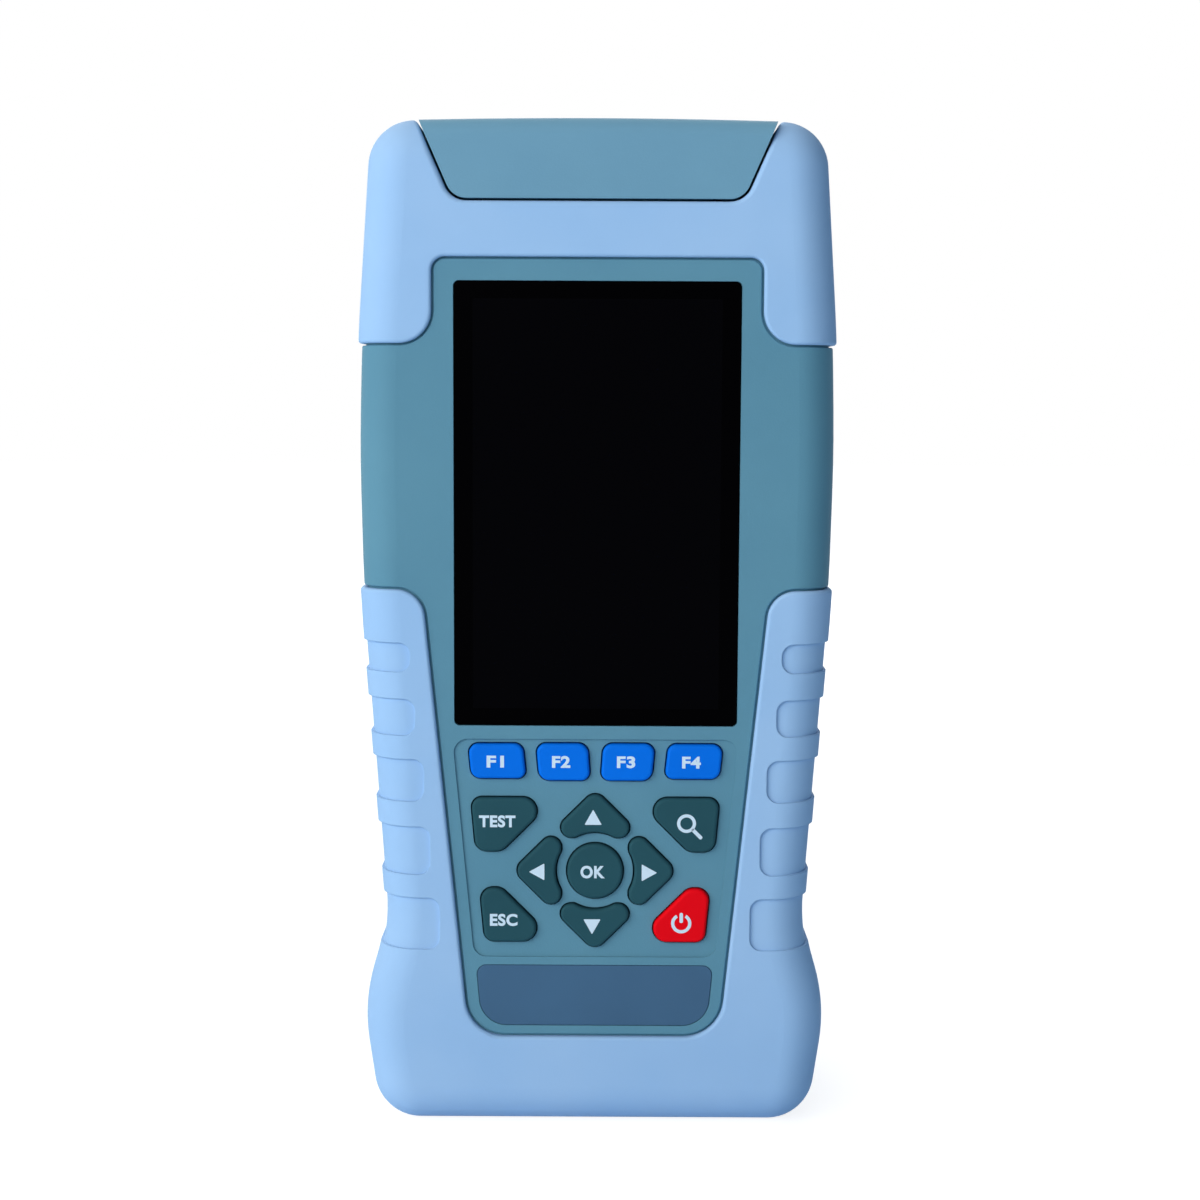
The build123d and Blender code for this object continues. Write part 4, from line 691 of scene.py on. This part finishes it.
@dataclass
class FibrePort:
    """Optical port: square flange, keyed barrel with its fine thread, and tail."""

    node: str
    x_mm: float
    y_mm: float = -11.0
    flange_mm: float = 11.0
    flange_low_mm: float = 202.8
    flange_high_mm: float = 204.8
    flange_corner_mm: float = 1.0
    edge_mm: float = 0.2
    barrel_top_mm: float = 211.2
    root_r_mm: float = 3.56
    crest_r_mm: float = 3.99
    bore_r_mm: float = 2.6
    sleeve_r_mm: float = 1.68
    sleeve_floor_mm: float = 195.8
    tail_r_mm: float = 3.4
    tail_low_mm: float = 194.4
    pitch_mm: float = 0.75
    thread_low_mm: float = 206.2
    thread_turns: int = 6
    slot_width_mm: float = 2.2
    slot_depth_mm: float = 3.6
    slot_reach_mm: float = 4.0
    ridge_deep: float = 1.15
    ridge_tall: float = 0.56
    ridge_steps: int = 40
    round_steps: int = 64
    corner_steps: int = 6
    overlap_mm: float = 0.3
    tail_overlap_mm: float = 0.2
    hair_mm: float = 0.01
    facing_up: float = 0.9
    smooth_deg: float = 32.0

    def _flange(self) -> bpy.types.Object:
        """Square plate with every edge rounded and a ring inset in its top."""
        Bench.clear()
        bpy.ops.mesh.primitive_cube_add(size=1.0)
        flange = Bench.active()
        height = self.flange_high_mm - self.flange_low_mm
        flange.scale = (self.flange_mm * MM, self.flange_mm * MM, height * MM)
        flange.location = (
            self.x_mm * MM, self.y_mm * MM, (self.flange_low_mm + height / 2) * MM)
        Bench.settle(flange)
        Bench.edit(flange)
        bpy.ops.mesh.select_all(action="SELECT")
        bpy.ops.mesh.bevel(
            offset=self.flange_corner_mm * MM, segments=self.corner_steps, affect="EDGES")
        top = (self.flange_high_mm - self.hair_mm) * MM
        Bench.pick(flange, "FACE", lambda face: (
            face.normal.z > self.facing_up and face.center.z > top))
        bpy.ops.mesh.inset(thickness=self.edge_mm * MM)
        Bench.done()
        return flange

    def _tube(self, radius: float, low: float, high: float) -> bpy.types.Object:
        """Upright cylinder at the port's centre, with a ring inset in its upper face.

        Args:
            radius: Its radius in millimetres.
            low: Height of its lower end in millimetres.
            high: Height of its upper end in millimetres.

        Returns:
            The cylinder.
        """
        Bench.clear()
        bpy.ops.mesh.primitive_cylinder_add(
            vertices=self.round_steps, radius=radius * MM, depth=(high - low) * MM,
            location=(self.x_mm * MM, self.y_mm * MM, (low + high) / 2 * MM))
        tube = Bench.active()
        Bench.settle(tube)
        Bench.edit(tube)
        Bench.pick(tube, "FACE", lambda face: face.normal.z > self.facing_up)
        bpy.ops.mesh.inset(thickness=self.edge_mm * MM)
        Bench.done()
        return tube

    def _bore(self, tube: bpy.types.Object) -> None:
        """Sink the stepped bore into the barrel from its upper face."""
        Bench.edit(tube)
        top = self.barrel_top_mm
        face_r = self.root_r_mm - self.edge_mm
        steps = (
            (face_r - self.bore_r_mm, top - self.flange_high_mm),
            (self.bore_r_mm - self.sleeve_r_mm, self.flange_high_mm - self.sleeve_floor_mm),
        )
        Bench.pick(tube, "FACE", lambda face: (
            face.normal.z > self.facing_up and len(face.vertices) == self.round_steps))
        for inset, depth in steps:
            bpy.ops.mesh.inset(thickness=inset * MM)
            bpy.ops.mesh.extrude_region_move(
                TRANSFORM_OT_translate={"value": (0.0, 0.0, -depth * MM)})
        Bench.done()

    def _thread(self) -> bpy.types.Object:
        """Helical ridge around the barrel, swept from a small diamond and open at the slot."""
        Bench.clear()
        bpy.ops.mesh.primitive_circle_add(vertices=4, radius=1.0, fill_type="NOTHING")
        ridge = Bench.active()
        depth = (self.crest_r_mm - self.root_r_mm) * self.ridge_deep
        ridge.scale = (depth * MM, self.pitch_mm * self.ridge_tall * MM, 1.0)
        ridge.rotation_euler = (math.radians(90), 0.0, 0.0)
        ridge.location = ((self.crest_r_mm - depth) * MM, 0.0, self.thread_low_mm * MM)
        Bench.settle(ridge)
        Bench.apply(
            ridge, "SCREW", axis="Z", screw_offset=self.pitch_mm * MM, steps=self.ridge_steps,
            render_steps=self.ridge_steps, iterations=self.thread_turns,
            use_merge_vertices=False)
        Bench.edit(ridge)
        floor = (self.barrel_top_mm - self.slot_depth_mm) * MM
        half = self.slot_width_mm / 2 * MM
        Bench.pick(ridge, "FACE", lambda face: (
            abs(face.center.x) < half and face.center.y < 0.0 and face.center.z > floor))
        bpy.ops.mesh.delete(type="FACE")
        bpy.ops.mesh.select_all(action="SELECT")
        bpy.ops.mesh.fill_holes(sides=4)
        Bench.done()
        ridge.location = (self.x_mm * MM, self.y_mm * MM, 0.0)
        Bench.settle(ridge)
        Bench.outward(ridge)
        return ridge

    def _key_slot(self, barrel: bpy.types.Object) -> None:
        """Cut the keying slot through the front of the barrel wall."""
        Bench.clear()
        bpy.ops.mesh.primitive_cube_add(size=1.0)
        cutter = Bench.active()
        cutter.scale = (
            self.slot_width_mm * MM, self.slot_reach_mm * MM, 2 * self.slot_depth_mm * MM)
        cutter.location = (
            self.x_mm * MM, (self.y_mm - self.crest_r_mm) * MM, self.barrel_top_mm * MM)
        Bench.settle(cutter)
        Bench.apply(
            barrel, "BOOLEAN", operation="DIFFERENCE", object=cutter, solver="EXACT")
        bpy.data.objects.remove(cutter, do_unlink=True)

    def build(self, shop: FinishShop) -> bpy.types.Object:
        """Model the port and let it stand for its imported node.

        Args:
            shop: Where the nickel comes from.

        Returns:
            The finished port.
        """
        barrel = self._tube(
            self.root_r_mm, self.flange_high_mm - self.overlap_mm, self.barrel_top_mm)
        self._bore(barrel)
        Bench.outward(barrel)
        ridge = self._thread()
        self._key_slot(barrel)
        tail = self._tube(
            self.tail_r_mm, self.tail_low_mm, self.flange_low_mm + self.tail_overlap_mm)
        port = Bench.join([self._flange(), barrel, ridge, tail], f"{self.node}_threaded")
        Bench.clear()
        port.select_set(True)
        bpy.ops.object.shade_smooth_by_angle(angle=math.radians(self.smooth_deg))
        shop.coat(port, "nickel")
        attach(port, "case")
        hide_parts(self.node)
        return port


@dataclass(frozen=True)
class SoftBox:
    """Square lamp: where it hangs and its side in metres, and its power in watts."""

    name: str
    place: Triple
    size: float
    power: float


@dataclass
class Studio:
    """Pale floor, white surroundings and soft lamps."""

    floor_half: float = 4.0
    floor_z: float = -0.00005
    ambient: float = 0.42
    side_fall: float = 0.66
    darkest: float = 0.04
    cool: Colour = (0.03, 0.50, 1.0, 1.0)
    cool_rise: float = 2.0
    bounce: Colour = (0.64, 0.78, 0.92, 1.0)
    shadow: Colour = (0.35, 0.35, 0.35, 1.0)
    glow_near: float = 0.86
    glow_reach: tuple[float, float] = (0.25, 1.1)
    lamps: tuple[SoftBox, ...] = (
        SoftBox("left_soft_box", (-0.95, -0.75, 0.55), 0.7, 6.9),
        SoftBox("front_soft_box", (-0.50, -1.25, 0.65), 0.8, 6.2),
        SoftBox("top_soft_box", (-0.10, 0.55, 1.10), 0.8, 2.4),
        SoftBox("back_soft_box", (-0.15, 1.20, 0.55), 0.8, 5.0),
    )
    aim: Triple = (0.0, 0.0, 0.11)

    @staticmethod
    def _seen(sheet: NodeSheet) -> bpy.types.NodeSocket:
        """1 for rays that show the surroundings, 0 for rays that light the object."""
        path = sheet.add("ShaderNodeLightPath")
        first = sheet.math(
            "MAXIMUM", path.outputs["Is Camera Ray"], path.outputs["Is Transmission Ray"])
        return sheet.math("MAXIMUM", first, path.outputs["Is Glossy Ray"])

    def _world(self) -> None:
        """White to look at, and a soft light that weakens and cools toward the right."""
        world = bpy.data.worlds.new("studio_air")
        bpy.context.scene.world = world
        world.use_nodes = True
        world.node_tree.nodes.clear()
        sheet = NodeSheet(world.node_tree)
        way = sheet.add("ShaderNodeSeparateXYZ", {
            0: sheet.add("ShaderNodeTexCoord").outputs["Generated"]})
        tilt = sheet.math(
            "MULTIPLY_ADD", way.outputs[0], -self.side_fall, 1 - self.side_fall / 3)
        share = sheet.math("MAXIMUM", tilt, self.darkest / self.ambient)
        right = sheet.math("MULTIPLY", way.outputs[0], self.cool_rise, clamp=True)
        tint = sheet.add("ShaderNodeMix", {
            0: right, 6: WHITE, 7: self.cool}, data_type="RGBA")
        light = sheet.add("ShaderNodeBackground", {
            "Color": tint.outputs[2], "Strength": sheet.math("MULTIPLY", share, self.ambient)})
        white = sheet.add("ShaderNodeBackground", {"Color": WHITE, "Strength": 1.0})
        both = sheet.add("ShaderNodeMixShader", {
            0: self._seen(sheet), 1: light.outputs[0], 2: white.outputs[0]})
        sheet.add("ShaderNodeOutputWorld", {0: both.outputs[0]})

    def _floor(self) -> None:
        """Pale floor that fades into the white and keeps a faint shadow."""
        Bench.clear()
        bpy.ops.mesh.primitive_plane_add(
            size=2 * self.floor_half, location=(0.0, 0.0, self.floor_z))
        floor = Bench.active()
        floor.name = "floor"
        Bench.settle(floor)
        material = bpy.data.materials.new("floor_paint")
        material.use_nodes = True
        material.node_tree.nodes.clear()
        sheet = NodeSheet(material.node_tree)
        paint = sheet.add("ShaderNodeBsdfDiffuse", {"Color": self.bounce})
        thin = sheet.add("ShaderNodeBsdfDiffuse", {"Color": self.shadow})
        place = sheet.add("ShaderNodeTexCoord").outputs["Object"]
        away = sheet.add("ShaderNodeVectorMath", {0: place}, operation="LENGTH")
        fade = sheet.add("ShaderNodeMapRange", {
            0: away.outputs["Value"], 1: self.glow_reach[0], 2: self.glow_reach[1],
            3: self.glow_near, 4: 1.0})
        glow = sheet.add(
            "ShaderNodeEmission", {"Color": WHITE, "Strength": fade.outputs[0]})
        seen = sheet.add("ShaderNodeAddShader", {0: thin.outputs[0], 1: glow.outputs[0]})
        both = sheet.add("ShaderNodeMixShader", {
            0: self._seen(sheet), 1: paint.outputs[0], 2: seen.outputs[0]})
        sheet.add("ShaderNodeOutputMaterial", {0: both.outputs[0]})
        floor.data.materials.append(material)

    def _lamp(self, box: SoftBox) -> None:
        """Add a soft box that faces the object."""
        lamp = bpy.data.lights.new(box.name, "AREA")
        lamp.shape = "SQUARE"
        lamp.size = box.size
        lamp.energy = box.power
        holder = bpy.data.objects.new(box.name, lamp)
        bpy.context.scene.collection.objects.link(holder)
        holder.location = box.place
        toward = Vector(self.aim) - Vector(box.place)
        holder.rotation_euler = toward.to_track_quat("-Z", "Y").to_euler()

    def build(self) -> None:
        """Set up floor, surroundings and lamps."""
        self._world()
        self._floor()
        for box in self.lamps:
            self._lamp(box)
        bpy.context.scene.view_settings.view_transform = "Standard"


@dataclass
class Viewpoint:
    """Camera at the photograph's viewing angle."""

    target: Triple = (0.0008, 0.0, 0.114)
    distance: float = 0.450
    elevation_deg: float = 6.0
    roll_deg: float = 0.28
    lens_mm: float = 59.22
    sensor_mm: float = 36.0

    def build(self) -> None:
        """Place the camera and make it the scene's."""
        data = bpy.data.cameras.new("viewpoint")
        data.lens = self.lens_mm
        data.sensor_width = self.sensor_mm
        data.sensor_fit = "HORIZONTAL"
        camera = bpy.data.objects.new("viewpoint", data)
        bpy.context.scene.collection.objects.link(camera)
        rise = math.radians(self.elevation_deg)
        aim = Vector(self.target)
        place = aim + Vector((0.0, -math.cos(rise), math.sin(rise))) * self.distance
        turn = (aim - place).to_track_quat("-Z", "Y").to_matrix().to_4x4()
        roll = Matrix.Rotation(math.radians(self.roll_deg), 4, "Z")
        camera.matrix_world = Matrix.Translation(place) @ turn @ roll
        bpy.context.scene.camera = camera


@dataclass
class Reflectometer:
    """The whole instrument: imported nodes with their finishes, and the new pieces."""

    frame: dict[str, Any]
    shop: FinishShop
    keypad: Keypad = field(default_factory=Keypad)
    ports: tuple[FibrePort, ...] = (
        FibrePort("test_port", -15.5),
        FibrePort("meter_port", 0.0),
        FibrePort("laser_port", 15.5),
    )

    def dress_nodes(self) -> None:
        """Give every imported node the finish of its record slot."""
        for part in self.frame["record"]["subparts"]:
            node = self.frame["nodes"][part["node"]]
            self.shop.recoat(node, part["material_slot"])
        LOG.info("%d packed nodes have their finishes", len(self.frame["nodes"]))

    def build(self) -> None:
        """Dress the nodes, then add keypad marks and ports."""
        self.dress_nodes()
        self.keypad.build(self.shop)
        for port in self.ports:
            piece = port.build(self.shop)
            LOG.info(
                "%s stands for %s, %d faces", piece.name, port.node, len(piece.data.polygons))


def main() -> None:
    """Load the frame, build every class in order and note the sizes."""
    logging.basicConfig(level=logging.INFO, format="%(message)s")
    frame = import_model()
    Reflectometer(frame, FinishShop(EffectGroups())).build()
    Studio().build()
    Viewpoint().build()


if __name__ == "__main__":
    main()
